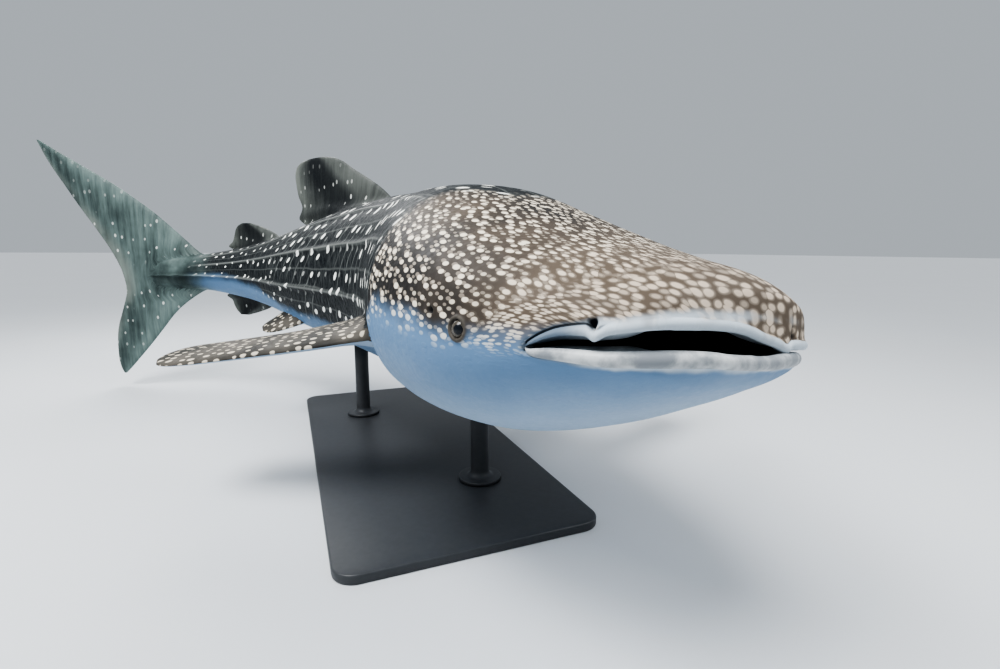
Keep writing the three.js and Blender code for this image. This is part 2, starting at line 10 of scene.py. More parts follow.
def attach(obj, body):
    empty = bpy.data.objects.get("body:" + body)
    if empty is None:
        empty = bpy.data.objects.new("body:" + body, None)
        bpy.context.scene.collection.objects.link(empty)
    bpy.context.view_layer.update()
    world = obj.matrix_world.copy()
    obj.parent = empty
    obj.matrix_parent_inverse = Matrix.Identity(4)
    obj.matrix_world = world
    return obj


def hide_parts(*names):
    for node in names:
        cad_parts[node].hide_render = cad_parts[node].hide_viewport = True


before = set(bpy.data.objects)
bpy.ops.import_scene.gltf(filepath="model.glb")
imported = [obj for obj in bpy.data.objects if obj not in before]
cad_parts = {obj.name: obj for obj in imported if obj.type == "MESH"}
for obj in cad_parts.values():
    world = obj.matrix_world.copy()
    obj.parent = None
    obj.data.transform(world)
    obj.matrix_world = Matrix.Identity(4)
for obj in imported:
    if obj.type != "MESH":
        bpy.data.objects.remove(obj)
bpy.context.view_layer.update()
MM = 0.001

# The room: a plain pale floor that runs far back, three soft studio lamps and an even light from
# overhead, and a camera ahead of the animal's right side, a little above the middle of its body.
CAMERA_PLACE = (2898, -635, 1165.5)
CAMERA_HEADING = 157.57
CAMERA_PITCH = -9.43
CAMERA_ROLL = 0.34
CAMERA_LENS = 18.53
FLOOR_SIZE = 240000
FLOOR_COLOR = (0.62, 0.64, 0.66, 1)
LAMPS = [
    # place, aims at, size, watts
    ((1800, -3600, 5600), (-400, 0, 900), 2600, 240),
    ((3200, 3000, 4200), (-300, 200, 900), 2600, 90),
    ((-4200, -1500, 4800), (-1800, -600, 900), 3000, 130),
]
OVERHEAD_FROM = (900, -1500, 4000)
OVERHEAD_STRENGTH = 1.5
OVERHEAD_SOFTNESS = 24
SKY_COLOR = (0.80, 0.86, 0.92, 1)
SKY_STRENGTH = 0.42
EXPOSURE = 0.1


def point(x, y, z):
    return Vector((x, y, z)) * MM


scene = bpy.context.scene
camera_data = bpy.data.cameras.new("camera")
camera_data.sensor_fit = "HORIZONTAL"
camera_data.sensor_width = 36
camera_data.lens = CAMERA_LENS
camera_data.clip_end = 200
camera = bpy.data.objects.new("camera", camera_data)
turn = Matrix.Rotation(math.radians(CAMERA_HEADING - 90), 4, "Z")
tip = Matrix.Rotation(math.radians(90 + CAMERA_PITCH), 4, "X")
roll = Matrix.Rotation(math.radians(CAMERA_ROLL), 4, "Z")
camera.matrix_world = Matrix.Translation(point(*CAMERA_PLACE)) @ turn @ tip @ roll
scene.collection.objects.link(camera)
scene.camera = camera

for index, (stands, aims, size, watts) in enumerate(LAMPS):
    lamp_data = bpy.data.lights.new(f"lamp_{index}", "AREA")
    lamp_data.size = size * MM
    lamp_data.energy = watts
    lamp = bpy.data.objects.new(f"lamp_{index}", lamp_data)
    lamp.location = point(*stands)
    lamp.rotation_euler = (point(*aims) - point(*stands)).to_track_quat("-Z", "Y").to_euler()
    scene.collection.objects.link(lamp)
overhead_data = bpy.data.lights.new("overhead", "SUN")
overhead_data.energy = OVERHEAD_STRENGTH
overhead_data.angle = math.radians(OVERHEAD_SOFTNESS)
overhead = bpy.data.objects.new("overhead", overhead_data)
overhead.rotation_euler = (-point(*OVERHEAD_FROM)).to_track_quat("-Z", "Y").to_euler()
scene.collection.objects.link(overhead)
world = bpy.data.worlds.new("studio")
world.use_nodes = True
world.node_tree.nodes["Background"].inputs["Color"].default_value = SKY_COLOR
world.node_tree.nodes["Background"].inputs["Strength"].default_value = SKY_STRENGTH
scene.world = world
scene.view_settings.view_transform = "AgX"
scene.view_settings.look = "AgX - High Contrast"
scene.view_settings.exposure = EXPOSURE


def add_mesh(name, bm, materials):
    """Puts a finished bmesh into the scene as a smooth-shaded object at the origin."""
    mesh = bpy.data.meshes.new(name)
    bm.to_mesh(mesh)
    bm.free()
    mesh.shade_smooth()
    for material in materials:
        mesh.materials.append(material)
    made = bpy.data.objects.new(name, mesh)
    scene.collection.objects.link(made)
    return made


class Finish:
    """A material's node tree, with short calls that add one node each and give its output."""

    def __init__(self, name, roughness, specular=0.4):
        self.material = bpy.data.materials.new(name)
        self.material.use_nodes = True
        self.tree = self.material.node_tree
        self.shader = self.tree.nodes["Principled BSDF"]
        self.shader.inputs["Roughness"].default_value = roughness
        self.shader.inputs["Specular IOR Level"].default_value = specular

    def node(self, kind, inputs=(), **settings):
        made = self.tree.nodes.new("ShaderNode" + kind)
        for key, value in settings.items():
            setattr(made, key, value)
        for key, value in dict(inputs).items():
            if isinstance(value, bpy.types.NodeSocket):
                self.tree.links.new(value, made.inputs[key])
            else:
                made.inputs[key].default_value = value
        return made

    def math(self, operation, a, b=0.0, c=0.0):
        return self.node("Math", {0: a, 1: b, 2: c}, operation=operation).outputs[0]

    def times(self, a, b):
        return self.math("MULTIPLY", a, b)

    def scaled(self, value, factor, added):
        return self.math("MULTIPLY_ADD", value, factor, added)

    def between(self, share, a, b):
        """a where the share is 0, b where it is 1."""
        return self.scaled(self.math("SUBTRACT", b, a), share, a)

    def ramp(self, value, low, high, to_low=0.0, to_high=1.0):
        """A smooth step: to_low below low, to_high above high."""
        made = self.node(
            "MapRange",
            {"Value": value, "From Min": low, "From Max": high, "To Min": to_low, "To Max": to_high},
            interpolation_type="SMOOTHSTEP",
        )
        return made.outputs["Result"]

    def mix(self, factor, a, b):
        made = self.node("Mix", {0: factor, 6: a, 7: b}, data_type="RGBA")
        return made.outputs[2]

    def map(self, name):
        """The two values of one of the piece's own UV maps."""
        made = self.node("SeparateXYZ", {0: self.node("UVMap", uv_map=name).outputs[0]})
        return made.outputs[0], made.outputs[1]

    def vector(self, x, y):
        return self.node("CombineXYZ", {0: x, 1: y}).outputs[0]

    def spread(self, x, x_scale, y, y_scale):
        """The place in a flat pattern, from two values with a scale each."""
        return self.vector(self.times(x, x_scale), self.times(y, y_scale))

    def noise(self, scale, detail=3.0, roughness=0.5, over=None):
        over = self.place() if over is None else over
        inputs = {"Vector": over, "Scale": scale, "Detail": detail, "Roughness": roughness}
        return self.node("TexNoise", inputs).outputs["Fac"]

    def place(self):
        return self.node("TexCoord").outputs["Object"]

    def color(self, output):
        self.tree.links.new(output, self.shader.inputs["Base Color"])

    def rough(self, output):
        self.tree.links.new(output, self.shader.inputs["Roughness"])

    def bump(self, height, strength, distance, under=None):
        inputs = {"Height": height, "Strength": strength, "Distance": distance}
        if under is not None:
            inputs["Normal"] = under
        made = self.node("Bump", inputs).outputs["Normal"]
        self.tree.links.new(made, self.shader.inputs["Normal"])
        return made


floor_finish = Finish("pale_floor", roughness=0.7, specular=0.2)
cloudy = floor_finish.noise(0.6, detail=2.0)
shade = tuple(c * 0.96 for c in FLOOR_COLOR[:3]) + (1,)
floor_finish.color(floor_finish.mix(cloudy, FLOOR_COLOR, shade))
floor_bm = bmesh.new()
bmesh.ops.create_grid(floor_bm, x_segments=1, y_segments=1, size=FLOOR_SIZE * MM / 2)
floor = add_mesh("floor", floor_bm, [floor_finish.material])


# The animal's body: one continuous skin over soft flesh, from the tail stock to the inside of the
# mouth, with three low ridges along each flank, five gill slits, and the lips, nostrils and
# spiracles formed in it. "at" is a distance behind the snout, angles run from the top of the back.
LENGTH = 6000
AXIS_HEIGHT = 950
AXIS_STEP = 10
STAND_RODS = (1480, 2820)
OUTLINE = [
    # at, top, belly, half width
    (-12, 40, 2, 120),
    (0, 58, -14, 201),
    (36, 138, -80, 292),
    (108, 181, -132, 341),
    (240, 209, -203, 411),
    (420, 250, -291, 483),
    (660, 314, -378, 535),
    (960, 394, -431, 565),
    (1320, 483, -477, 541),
    (1800, 521, -490, 497),
    (2280, 522, -464, 450),
    (2760, 475, -408, 392),
    (3240, 390, -343, 317),
    (3720, 296, -254, 235),
    (4200, 210, -175, 168),
    (4620, 150, -124, 126),
    (4860, 122, -115, 84),
    (4980, 90, -112, 40),
    (5060, 50, -105, 12),
    (5130, 10, -90, 6),
]
UPPER_FULLNESS = [(1400, 2.3), (2700, 1.95)]
LOWER_FULLNESS = 2.2
WIDEST_LEVEL = 0.3
BEND = [
    # at, heading in degrees to the left of +X
    (0, 7),
    (780, 2),
    (1220, -1.5),
    (1500, 0),
    (1860, 9),
    (2220, 21),
    (2580, 29.1),
    (2880, 31.1),
    (3300, 29.4),
    (3600, 31.7),
    (3960, 40),
    (4680, 64),
    (5040, 71),
    (5400, 74),
]
BANK = [(720, 4.6), (2160, 0)]
RIDGE_ANGLES = (35, 65, 95)
RIDGE_WIDTH = 2.1
RIDGE_HEIGHTS = [
    # at, then the height of the upper, middle and lower ridge
    (1100, 0, 0, 0),
    (1500, 5, 6, 0),
    (1900, 9, 14, 3),
    (2500, 9, 15, 14),
    (3700, 8, 12, 21),
    (4000, 6, 9, 24),
    (4300, 4, 5, 30),
    (4650, 0, 0, 40),
    (4900, 0, 0, 22),
    (5040, 0, 0, 0),
]
GILL_FIRST = 968
GILL_PITCH = 77
GILL_COUNT = 5
GILL_ANGLES = (60, 134)
GILL_FADE = 14
GILL_BOW = 16
GILL_BOW_RUNS = (700, 890, 1310, 1480)
GILL_SECTION = [
    # place behind the slit, how far the skin is drawn back, how far it is lifted
    (-38, 0, 0),
    (-24, 0, 1),
    (-12, 0, 3),
    (-6, 1, 4),
    (-3, 3, 4),
    (-1, 5, 2),
    (1, 3, -4),
    (4, 1, -8),
    (8, 0, -7),
    (14, 0, -3),
    (22, 0, 0),
    (34, 0, 0),
]
MOUTH_CORNER = (239, 399, -24)
UPPER_LIP = [
    # at, out, up, radius of the roll
    (*MOUTH_CORNER, 0),
    (226, 394, -13, 5),
    (163, 364, 20, 9),
    (104, 330, 32, 11),
    (55, 296, 45, 12),
    (24, 246, 58, 13),
    (8, 168, 64, 13),
    (3, 84, 66, 13),
    (3, 0, 66, 13),
]
LOWER_LIP = [
    (*MOUTH_CORNER, 0),
    (229, 392, -35, 8),
    (196, 375, -31, 13),
    (147, 345, -27, 15),
    (85, 305, -23, 17),
    (43, 255, -16, 18),
    (12, 190, -11, 19),
    (-7, 120, -10, 18),
    (-15, 60, -12, 17),
    (-16, 0, -12, 17),
]
TUCK = [(0, 24), (60, 27), (150, 16), (235, 0)]
TUCK_ROUND = (84, 96, 100, 122)
HEAD_BACK = 330
HEAD_ROWS = 34
ROLL_ROWS = 10
LINING_ROWS = 10
THROAT = (420, 0.25, -44, 14)
# Both lips hang lower towards the left: column angle, positive on the right, and how much.
UPPER_HANGS = [
    (-95, 0),
    (-85, 4),
    (-66, 18),
    (-57, 34),
    (-47, 45),
    (-28, 48),
    (-19, 43),
    (-9, 31),
    (0, 17),
    (9, 10),
    (28, 5),
    (48, 2),
    (70, 0),
]
LOWER_HANGS = [(-170, 8), (-135, 8), (-110, 5), (-95, 0)]
HANG_ROWS = 7
EYE = (410, 90)
SPIRACLE = (525, 85)
# By side, 1 on the right and -1 on the left.
NOSTRILS = {1: (100, 81), -1: (16, 41)}
NASAL_FLAPS = {1: (88, 86.5), -1: (5, 36)}
FLAP_HANGS = 13
FLAP_PROUD = 5
FLAP_WIDTH = 2.7
# Each opening: its reach; the radius, width and height of its rim; then the radius at which its
# hollow is full, the radius at which it ends, and its depth.
EYE_OPENING = (60, 27, 7, 7, 17, 24, 24)
SPIRACLE_OPENING = (40, 15, 5, 2.5, 4, 13, 13)
NOSTRIL_OPENING = (50, 17, 6, 3, 5, 14, 16)
CREASE_DEPTH = 3.5
CREASE_WIDTH = 4
LIPS_PART = 95
LIP_LENGTH = 520
# Past this far along the lip, in metres, the spots crowd together, and how fast.
SPOTS_CROWD = (0.12, 3.1)
CHEEK_ENDS = (0.44, 0.66)


def mixed(a, b, t):
    return a + (b - a) * t


def smooth_step(value, low, high):
    t = min(max((value - low) / (high - low), 0.0), 1.0)
    return t * t * (3 - 2 * t)


def swell(value, start, full, holds, ends):
    """Rises from 0 at the start to 1, and falls back to 0 by the end."""
    return smooth_step(value, start, full) * (1 - smooth_step(value, holds, ends))


def bell(value, width):
    return math.exp(-((value / width) ** 2))


def divide(shade_and_marks, steps):
    """Values from mark to mark, each length cut into equal parts of about its own step."""
    made = []
    for start, end, step in zip(shade_and_marks, shade_and_marks[1:], steps):
        parts = max(1, round(abs(end - start) / step))
        made += [mixed(start, end, k / parts) for k in range(parts)]
    return made + [shade_and_marks[-1]]


def through(rows, column):
    """A smooth function through one column of a table, which never swings past its rows."""
    x = [row[0] for row in rows]
    y = [row[column] for row in rows]
    slope = [(y[i + 1] - y[i]) / (x[i + 1] - x[i]) for i in range(len(x) - 1)]
    beside = zip(slope[:1] + slope, slope + slope[-1:])
    tangent = [0 if a * b <= 0 else 2 * a * b / (a + b) for a, b in beside]

    def value(where):
        v = min(max(where, x[0]), x[-1])
        i = 0
        while i < len(x) - 2 and v > x[i + 1]:
            i += 1
        step = x[i + 1] - x[i]
        t = (v - x[i]) / step
        straight = y[i] * (1 - t) ** 2 * (1 + 2 * t) + y[i + 1] * t ** 2 * (3 - 2 * t)
        return straight + step * t * (1 - t) * (tangent[i] * (1 - t) - tangent[i + 1] * t)

    return value


top_at = through(OUTLINE, 1)
belly_at = through(OUTLINE, 2)
half_at = through(OUTLINE, 3)
heading_at = through(BEND, 1)
lean_at = through(BANK, 1)
tuck_at = through(TUCK, 1)
upper_fullness = through(UPPER_FULLNESS, 1)
upper_hangs = through(UPPER_HANGS, 1)
lower_hangs = through(LOWER_HANGS, 1)
ridge_heights = [through(RIDGE_HEIGHTS, column) for column in (1, 2, 3)]
gill_back = through(GILL_SECTION, 1)
gill_lift = through(GILL_SECTION, 2)

axis = [Vector((0, 0))]
for travelled in range(0, LENGTH, AXIS_STEP):
    turn = math.radians(heading_at(travelled + AXIS_STEP / 2))
    axis.append(axis[-1] - Vector((math.cos(turn), math.sin(turn))) * AXIS_STEP)


def axis_at(at):
    where = at / AXIS_STEP
    i = min(max(math.floor(where), 0), len(axis) - 2)
    return axis[i] + (axis[i + 1] - axis[i]) * (where - i)


middle = (axis_at(STAND_RODS[0]) + axis_at(STAND_RODS[1])) / 2


def bent(straight):
    """Where a point of the straight body, given as (at, out to the right, up), lies once bent."""
    at, out, up = straight
    turn = math.radians(heading_at(at))
    bank = math.radians(lean_at(at))
    side = up * math.sin(bank) - out * math.cos(bank)
    rise = up * math.cos(bank) + out * math.sin(bank)
    x, y = axis_at(at) - middle
    return point(x - side * math.sin(turn), y + side * math.cos(turn), AXIS_HEIGHT + rise)


def on_body(at, angle):
    """A point of the plain body, as (at, out, up); the lower jaw is drawn in under its lip."""
    top = top_at(at)
    belly = belly_at(at)
    widest = WIDEST_LEVEL * (top + belly)
    across = math.sin(math.radians(angle))
    along = math.cos(math.radians(angle))
    power = 2 / (upper_fullness(at) if along > 0 else LOWER_FULLNESS)
    reach = top - widest if along > 0 else widest - belly
    tuck = tuck_at(at) * swell(abs(angle), *TUCK_ROUND)
    out = math.copysign(abs(across) ** power, across) * (half_at(at) - tuck)
    return Vector((at, out, widest + math.copysign(abs(along) ** power, along) * reach))


def found_on_body(out, up):
    """The place on the front of the body with this out and up, as (at, angle)."""
    low, high = OUTLINE[0][0], HEAD_BACK
    for _ in range(40):
        at = (low + high) / 2
        top, belly, half = top_at(at), belly_at(at), half_at(at)
        widest = WIDEST_LEVEL * (top + belly)
        above = up > widest
        fullness = upper_fullness(at) if above else LOWER_FULLNESS
        reach = top - widest if above else widest - belly
        across = (out / half) ** (fullness / 2)
        along = (abs(up - widest) / reach) ** (fullness / 2)
        if across ** 2 + along ** 2 > 1:
            low = at
        else:
            high = at
    return at, math.degrees(math.atan2(across, along if above else -along))


class Lip:
    """The roll of one lip: its centre line from the corner to the middle, and its section."""

    def __init__(self, rows, joins, ends):
        way = [0.0]
        for a, b in zip(rows, rows[1:]):
            way.append(way[-1] + math.dist(a[:3], b[:3]))
        table = [(length / way[-1], *row) for length, row in zip(way, rows)]
        self.columns = [through(table, column) for column in (1, 2, 3, 4)]
        self.joins = joins
        self.ends = ends

    def centre(self, way):
        return Vector([column(way) for column in self.columns[:3]])

    def section(self, way, turned):
        along = self.centre(min(way + 0.01, 1)) - self.centre(max(way - 0.01, 0))
        side = Vector((along.y, -along.x, 0)).normalized()
        radius = self.columns[3](way)
        turn = math.radians(turned)
        roll = side * math.cos(turn) + Vector((0, 0, math.sin(turn)))
        return self.centre(way) + roll * radius


upper_lip = Lip(UPPER_LIP, joins=75, ends=-160)
lower_lip = Lip(LOWER_LIP, joins=-75, ends=150)


def lip_by(angle):
    """The lip that a line along the body ends on, and how far along the lip it ends."""
    if angle <= LIPS_PART:
        return upper_lip, 1 - angle / LIPS_PART
    return lower_lip, 1 - (180 - angle) / (180 - LIPS_PART)


lip_joins = {}


def joined(angle):
    """Where a line along the body meets its lip: the point, and the nearest place of the body."""
    if angle not in lip_joins:
        lip, way = lip_by(angle)
        edge = lip.section(way, lip.joins)
        lip_joins[angle] = edge, *found_on_body(max(edge.y, 0), edge.z)
    return lip_joins[angle]


# The skin is a sheet of rows from the tail to the throat and columns from belly to belly.
side_angles = divide([0, 31, 39, 61, 69, 91, 99, 180], [2.3, 1, 2.3, 1, 2.3, 1, 2.4])
columns = [-angle for angle in reversed(side_angles[1:])] + side_angles
gill_marks = [GILL_FIRST + i * GILL_PITCH + row[0] for i in range(GILL_COUNT) for row in GILL_SECTION]
stations = divide([5130, 4400, 1400], [18, 22])
stations += sorted(gill_marks, reverse=True)
stations += divide([870, HEAD_BACK], [18])
LAST_RING = len(stations) - 1
LAST_HEAD = LAST_RING + HEAD_ROWS
LAST_ROLL = LAST_HEAD + ROLL_ROWS
LAST_ROW = LAST_ROLL + LINING_ROWS


def gill_past(at):
    """How far behind the nearest gill slit a station is."""
    i = min(max(round((at - GILL_FIRST) / GILL_PITCH), 0), GILL_COUNT - 1)
    return at - GILL_FIRST - i * GILL_PITCH


def gill_share(angle):
    low, high = GILL_ANGLES
    return swell(angle, low, low + GILL_FADE, high - GILL_FADE, high)


def lies_at(row, angle):
    """The (at, angle) of the body that a row and column of the sheet lie on, up to the lips."""
    if row > LAST_RING:
        t = min((row - LAST_RING) / HEAD_ROWS, 1)
        _, at, beside = joined(angle)
        return at + (HEAD_BACK - at) * (1 - t) ** 1.6, mixed(angle, beside, smooth_step(t, 0, 1.15))
    i = min(math.floor(row), LAST_RING - 1)
    return mixed(stations[i], stations[i + 1], row - i), angle


def on_sheet(row, angle):
    """The plain place of a row and column of the sheet on the right side, as (at, out, up)."""
    at, beside = lies_at(row, angle)
    if row <= LAST_RING:
        low, high = GILL_ANGLES
        bow = GILL_BOW * math.sin(math.pi * (angle - low) / (high - low)) if low < angle < high else 0
        bow *= swell(at, *GILL_BOW_RUNS)
        return on_body(at + bow + gill_back(gill_past(at)) * gill_share(angle), angle)
    lip, way = lip_by(angle)
    edge, at_lip, angle_lip = joined(angle)
    if row <= LAST_HEAD:
        t = (row - LAST_RING) / HEAD_ROWS
        return on_body(at, beside) + (edge - on_body(at_lip, angle_lip)) * smooth_step(t, 0.55, 1)
    if row <= LAST_ROLL:
        return lip.section(way, mixed(lip.joins, lip.ends, (row - LAST_HEAD) / ROLL_ROWS))
    deep = (row - LAST_ROLL) / LINING_ROWS
    start = lip.section(way, lip.ends)
    side = 1 if lip is upper_lip else -1
    parted = side * smooth_step(way, 0, 0.3)
    back, narrowed, level, high = THROAT
    up = mixed(start.z, level + parted * high, deep) + parted * 16 * math.sin(math.pi * deep)
    # Beside the front opening the lining shuts just behind the lips.
    shut = 1 - smooth_step(way, *CHEEK_ENDS)
    between = (upper_lip.centre(way).z + lower_lip.centre(way).z) / 2
    up = mixed(up, mixed(between, level, deep) + side * 1.5, shut * smooth_step(deep, 0, 0.1))
    return Vector((mixed(start.x, back, deep), start.y * mixed(1, narrowed, deep), up))


eye_centre = on_body(*EYE)
spiracle_centre = on_body(*SPIRACLE)
nostril_centres = {side: on_body(*place) for side, place in NOSTRILS.items()}
flap_columns = {}
for side, place in NASAL_FLAPS.items():
    flap = on_body(*place)
    flap_columns[side] = min(range(LIPS_PART), key=lambda angle: math.dist(joined(angle)[0], flap))


def opening(away, reach, rim, rim_width, rim_height, full, ends, depth):
    """The skin round an opening, by the distance from its middle: a raised rim and a hollow."""
    if away >= reach:
        return 0.0
    return rim_height * bell(away - rim, rim_width) - depth * (1 - smooth_step(away, full, ends))


def relief(row, at, angle, straight, side):
    """How far the skin stands out of the plain body, but for the crease and the nasal flap."""
    if row > LAST_HEAD:
        return 0.0
    if row > LAST_RING:
        return opening((straight - nostril_centres[side]).length, *NOSTRIL_OPENING)
    raised = 0.0
    for crest, height in zip(RIDGE_ANGLES, ridge_heights):
        if abs(angle - crest) < 4 * RIDGE_WIDTH:
            raised += height(at) * bell(angle - crest, RIDGE_WIDTH)
    raised += gill_lift(gill_past(at)) * gill_share(angle)
    raised += opening((straight - eye_centre).length, *EYE_OPENING)
    return raised + opening((straight - spiracle_centre).length, *SPIRACLE_OPENING)


def flap_share(beside, side):
    return bell(beside - flap_columns[side], FLAP_WIDTH)


def flapped(row, beside, side, straight):
    """A place of the sheet once the nasal flap is let down over the upper lip."""
    if beside >= LIPS_PART or not LAST_HEAD - 6 < row <= LAST_ROLL + 2:
        return straight
    shift = flap_share(beside, side) * bell(max(0, LAST_HEAD - row), 4)
    shift *= 1 - smooth_step(row, LAST_ROLL - 2, LAST_ROLL + 2)
    return straight + Vector((0, FLAP_PROUD * shift, -FLAP_HANGS * shift))


def hung(row, angle, straight):
    """A place of the sheet once the lips hang as low as they do on its side."""
    if row <= LAST_HEAD - HANG_ROWS:
        return straight
    if abs(angle) < LIPS_PART:
        sinks = upper_hangs(angle)
    elif abs(angle) > 165:
        across = smooth_step(math.copysign(180 - abs(angle), angle), -10, 15)
        sinks = mixed(LOWER_HANGS[0][1], 2, across)
    else:
        sinks = lower_hangs(angle) if angle < 0 else 0
    shift = swell(row, LAST_HEAD - HANG_ROWS, LAST_HEAD, LAST_ROLL, LAST_ROW)
    return straight - Vector((0, 0, sinks * shift))


def painted_shade_and_eye_rim(row, at, angle, straight, from_nostril):
    """How much shade is painted into the skin's slits and openings; it goes below 0 on the rims of
    the eyes.
    """
    if row > LAST_HEAD:
        return 0.0
    if row > LAST_RING:
        return 1 - smooth_step(from_nostril, 8, 14)
    slit = 0.85 * gill_share(angle) * swell(gill_past(at), -1, 1, 3, 9)
    hole = 1 - smooth_step((straight - spiracle_centre).length, 6, 13)
    eye_rim = 1 - smooth_step((straight - eye_centre).length, 26, 38)
    return max(slit, hole) - eye_rim


def close(bm, gap):
    """Merges the points that meet, fills open edges and turns the faces outwards."""
    bmesh.ops.remove_doubles(bm, verts=bm.verts, dist=gap * MM)
    bmesh.ops.holes_fill(bm, edges=[edge for edge in bm.edges if edge.is_boundary], sides=0)
    bmesh.ops.recalc_face_normals(bm, faces=bm.faces)


def smooth(bm, verts, times):
    for _ in range(times):
        bmesh.ops.smooth_vert(
            bm, verts=verts, factor=0.5, use_axis_x=True, use_axis_y=True, use_axis_z=True
        )


skin_bm = bmesh.new()
bmesh.ops.create_grid(skin_bm, x_segments=LAST_ROW, y_segments=len(columns) - 1, size=1)
for vert in skin_bm.verts:
    vert.co.x = (vert.co.x + 1) / 2 * LAST_ROW
    vert.co.y = (vert.co.y + 1) / 2 * (len(columns) - 1)


def column_angle(column):
    i = min(math.floor(column), len(columns) - 2)
    return mixed(columns[i], columns[i + 1], column - i)


# Smaller faces round the eye, the spiracle and the nostrils with their flaps: centre, reach and
# the cuts across each edge.
fine_places = [(eye_centre, 52, 3), (spiracle_centre, 36, 2)]
fine_places += [(nostril_centres[1], 50, 2), (nostril_centres[-1], 45, 2)]
for centre, reach, cuts in fine_places:
    near = set()
    for vert in skin_bm.verts:
        if LAST_RING - 14 < vert.co.x <= LAST_ROLL + 0.5:
            straight = on_sheet(vert.co.x, abs(column_angle(vert.co.y)))
            if (straight - centre).length < reach:
                near.add(vert)
    edges = [edge for edge in skin_bm.edges if edge.verts[0] in near and edge.verts[1] in near]
    bmesh.ops.subdivide_edges(skin_bm, edges=edges, cuts=cuts, use_grid_fill=True)

# How the sheet lies on the body, for the markings: at each row and column, a place along and
# round the body in shares of the girth, so that a marking keeps its shape wherever it lies.
plain = [[on_sheet(row, angle) for angle in side_angles] for row in range(LAST_ROW + 1)]
lies = [[(0.0, 0.0)] * len(side_angles)]
for row, half_row in enumerate(plain):
    arcs = [0.0]
    for a, b in zip(half_row, half_row[1:]):
        arcs.append(arcs[-1] + (b - a).length)
    girth = arcs[-1] / math.pi
    placed = []
    for j, here in enumerate(half_row):
        moved = (here - plain[row - 1][j]).length / girth if row else 0.0
        placed.append((lies[-1][j][0] + moved, arcs[j] / girth))
    lies.append(placed)
lies.pop(0)


def lie_of(row, angle):
    """The place along and round the body in shares of the girth, at any row and angle."""
    i = min(math.floor(row), LAST_ROW - 1)
    j = 0
    while j < len(side_angles) - 2 and angle > side_angles[j + 1]:
        j += 1
    across = (angle - side_angles[j]) / (side_angles[j + 1] - side_angles[j])
    near = [mixed(lies[i][j][k], lies[i][j + 1][k], across) for k in (0, 1)]
    far = [mixed(lies[i + 1][j][k], lies[i + 1][j + 1][k], across) for k in (0, 1)]
    return [mixed(near[k], far[k], row - i) for k in (0, 1)]


PALE_BELOW = [
    # at, then the lower edge of the spotted skin as an angle round the body
    (0, 97),
    (235, 94),
    (287, 94.5),
    (369, 95),
    (474, 94),
    (562, 91.5),
    (685, 90),
    (852, 90),
    (1100, 97),
    (1500, 118),
    (2000, 125),
    (3300, 124),
    (3900, 108),
    (4400, 100),
    (5130, 100),
]
pale_below = through(PALE_BELOW, 1)
# The crease that runs over the upper lip from the corner of the mouth to the nostril.
fold_line = [on_sheet(LAST_HEAD - 1.8, angle) for angle in range(66, 97, 3)]


FAR = 1000.0


def from_line(spot, line):
    """How far a point is from a line of points."""
    nearest = FAR
    for a, b in zip(line, line[1:]):
        along = (spot - a).dot(b - a) / (b - a).length_squared
        nearest = min(nearest, (spot - a - (b - a) * min(max(along, 0), 1)).length)
    return nearest


SKIN, FIN, LIP, MOUTH, PAIRED = range(5)
for face in skin_bm.faces:
    row = sum(vert.co.x for vert in face.verts) / len(face.verts)
    beside = abs(column_angle(sum(vert.co.y for vert in face.verts) / len(face.verts)))
    if row > LAST_ROLL + 1:
        face.material_index = MOUTH
    elif row > LAST_HEAD and beside > LIPS_PART:
        face.material_index = LIP
verts = list(skin_bm.verts)
rows_of = [vert.co.x for vert in verts]
told = []
for vert in verts:
    row, angle = vert.co.x, column_angle(vert.co.y)
    beside = abs(angle)
    side = 1 if angle >= 0 else -1
    at, around = lies_at(row, beside)
    straight = on_sheet(row, beside)
    raised = relief(row, at, around, straight, side)
    from_fold = FAR
    if LAST_RING - 2 < row <= LAST_HEAD and beside < 100:
        from_fold = from_line(straight, fold_line)
        raised += 2 * bell(from_fold - 12, 7) - CREASE_DEPTH * bell(from_fold, CREASE_WIDTH)
        if beside < LIPS_PART:
            near_lip = smooth_step(row, LAST_HEAD - 9, LAST_HEAD)
            raised += FLAP_PROUD * flap_share(beside, side) * near_lip
    straight = flapped(row, beside, side, straight)
    from_nostril = (straight - nostril_centres[side]).length
    straight = hung(row, angle, straight)
    # dark: the shade painted into the slits and openings, below 0 on the eye rims.
    dark = painted_shade_and_eye_rim(row, at, around, straight, from_nostril)
    girth = (half_at(at) + (top_at(at) - belly_at(at)) / 2) / 2
    above = math.radians(pale_below(at) - around) * girth
    ridge = min(abs(around - crest) for crest in RIDGE_ANGLES) * math.radians(1) * girth
    if row <= LAST_HEAD:
        from_lip = (straight - joined(beside)[0]).length if row > LAST_RING - 8 else FAR
    else:
        from_lip = -10.0 * (row - LAST_HEAD) / ROLL_ROWS
    along_lip = beside / LIPS_PART * LIP_LENGTH * MM
    crowded = SPOTS_CROWD[1] * max(0, along_lip - SPOTS_CROWD[0]) ** 2
    along, round_body = lie_of(row, beside)
    told.append(
        {
            "raised": raised,
            "lie": (along, math.copysign(round_body, angle)),
            "zone": (above * MM, at * MM),
            "shade_and_marks": (dark, ridge * MM if row <= LAST_ROLL else (row - LAST_ROLL) / LINING_ROWS),
            "lip": (from_lip * MM, from_fold * MM),
            "snout": (math.copysign(along_lip + crowded, angle), from_lip * MM),
        }
    )
    straight.y = math.copysign(straight.y, angle)
    vert.co = bent(straight)
    if beside < 0.01 or beside > 179.99:
        vert.co = bent((straight.x, 0, straight.z))

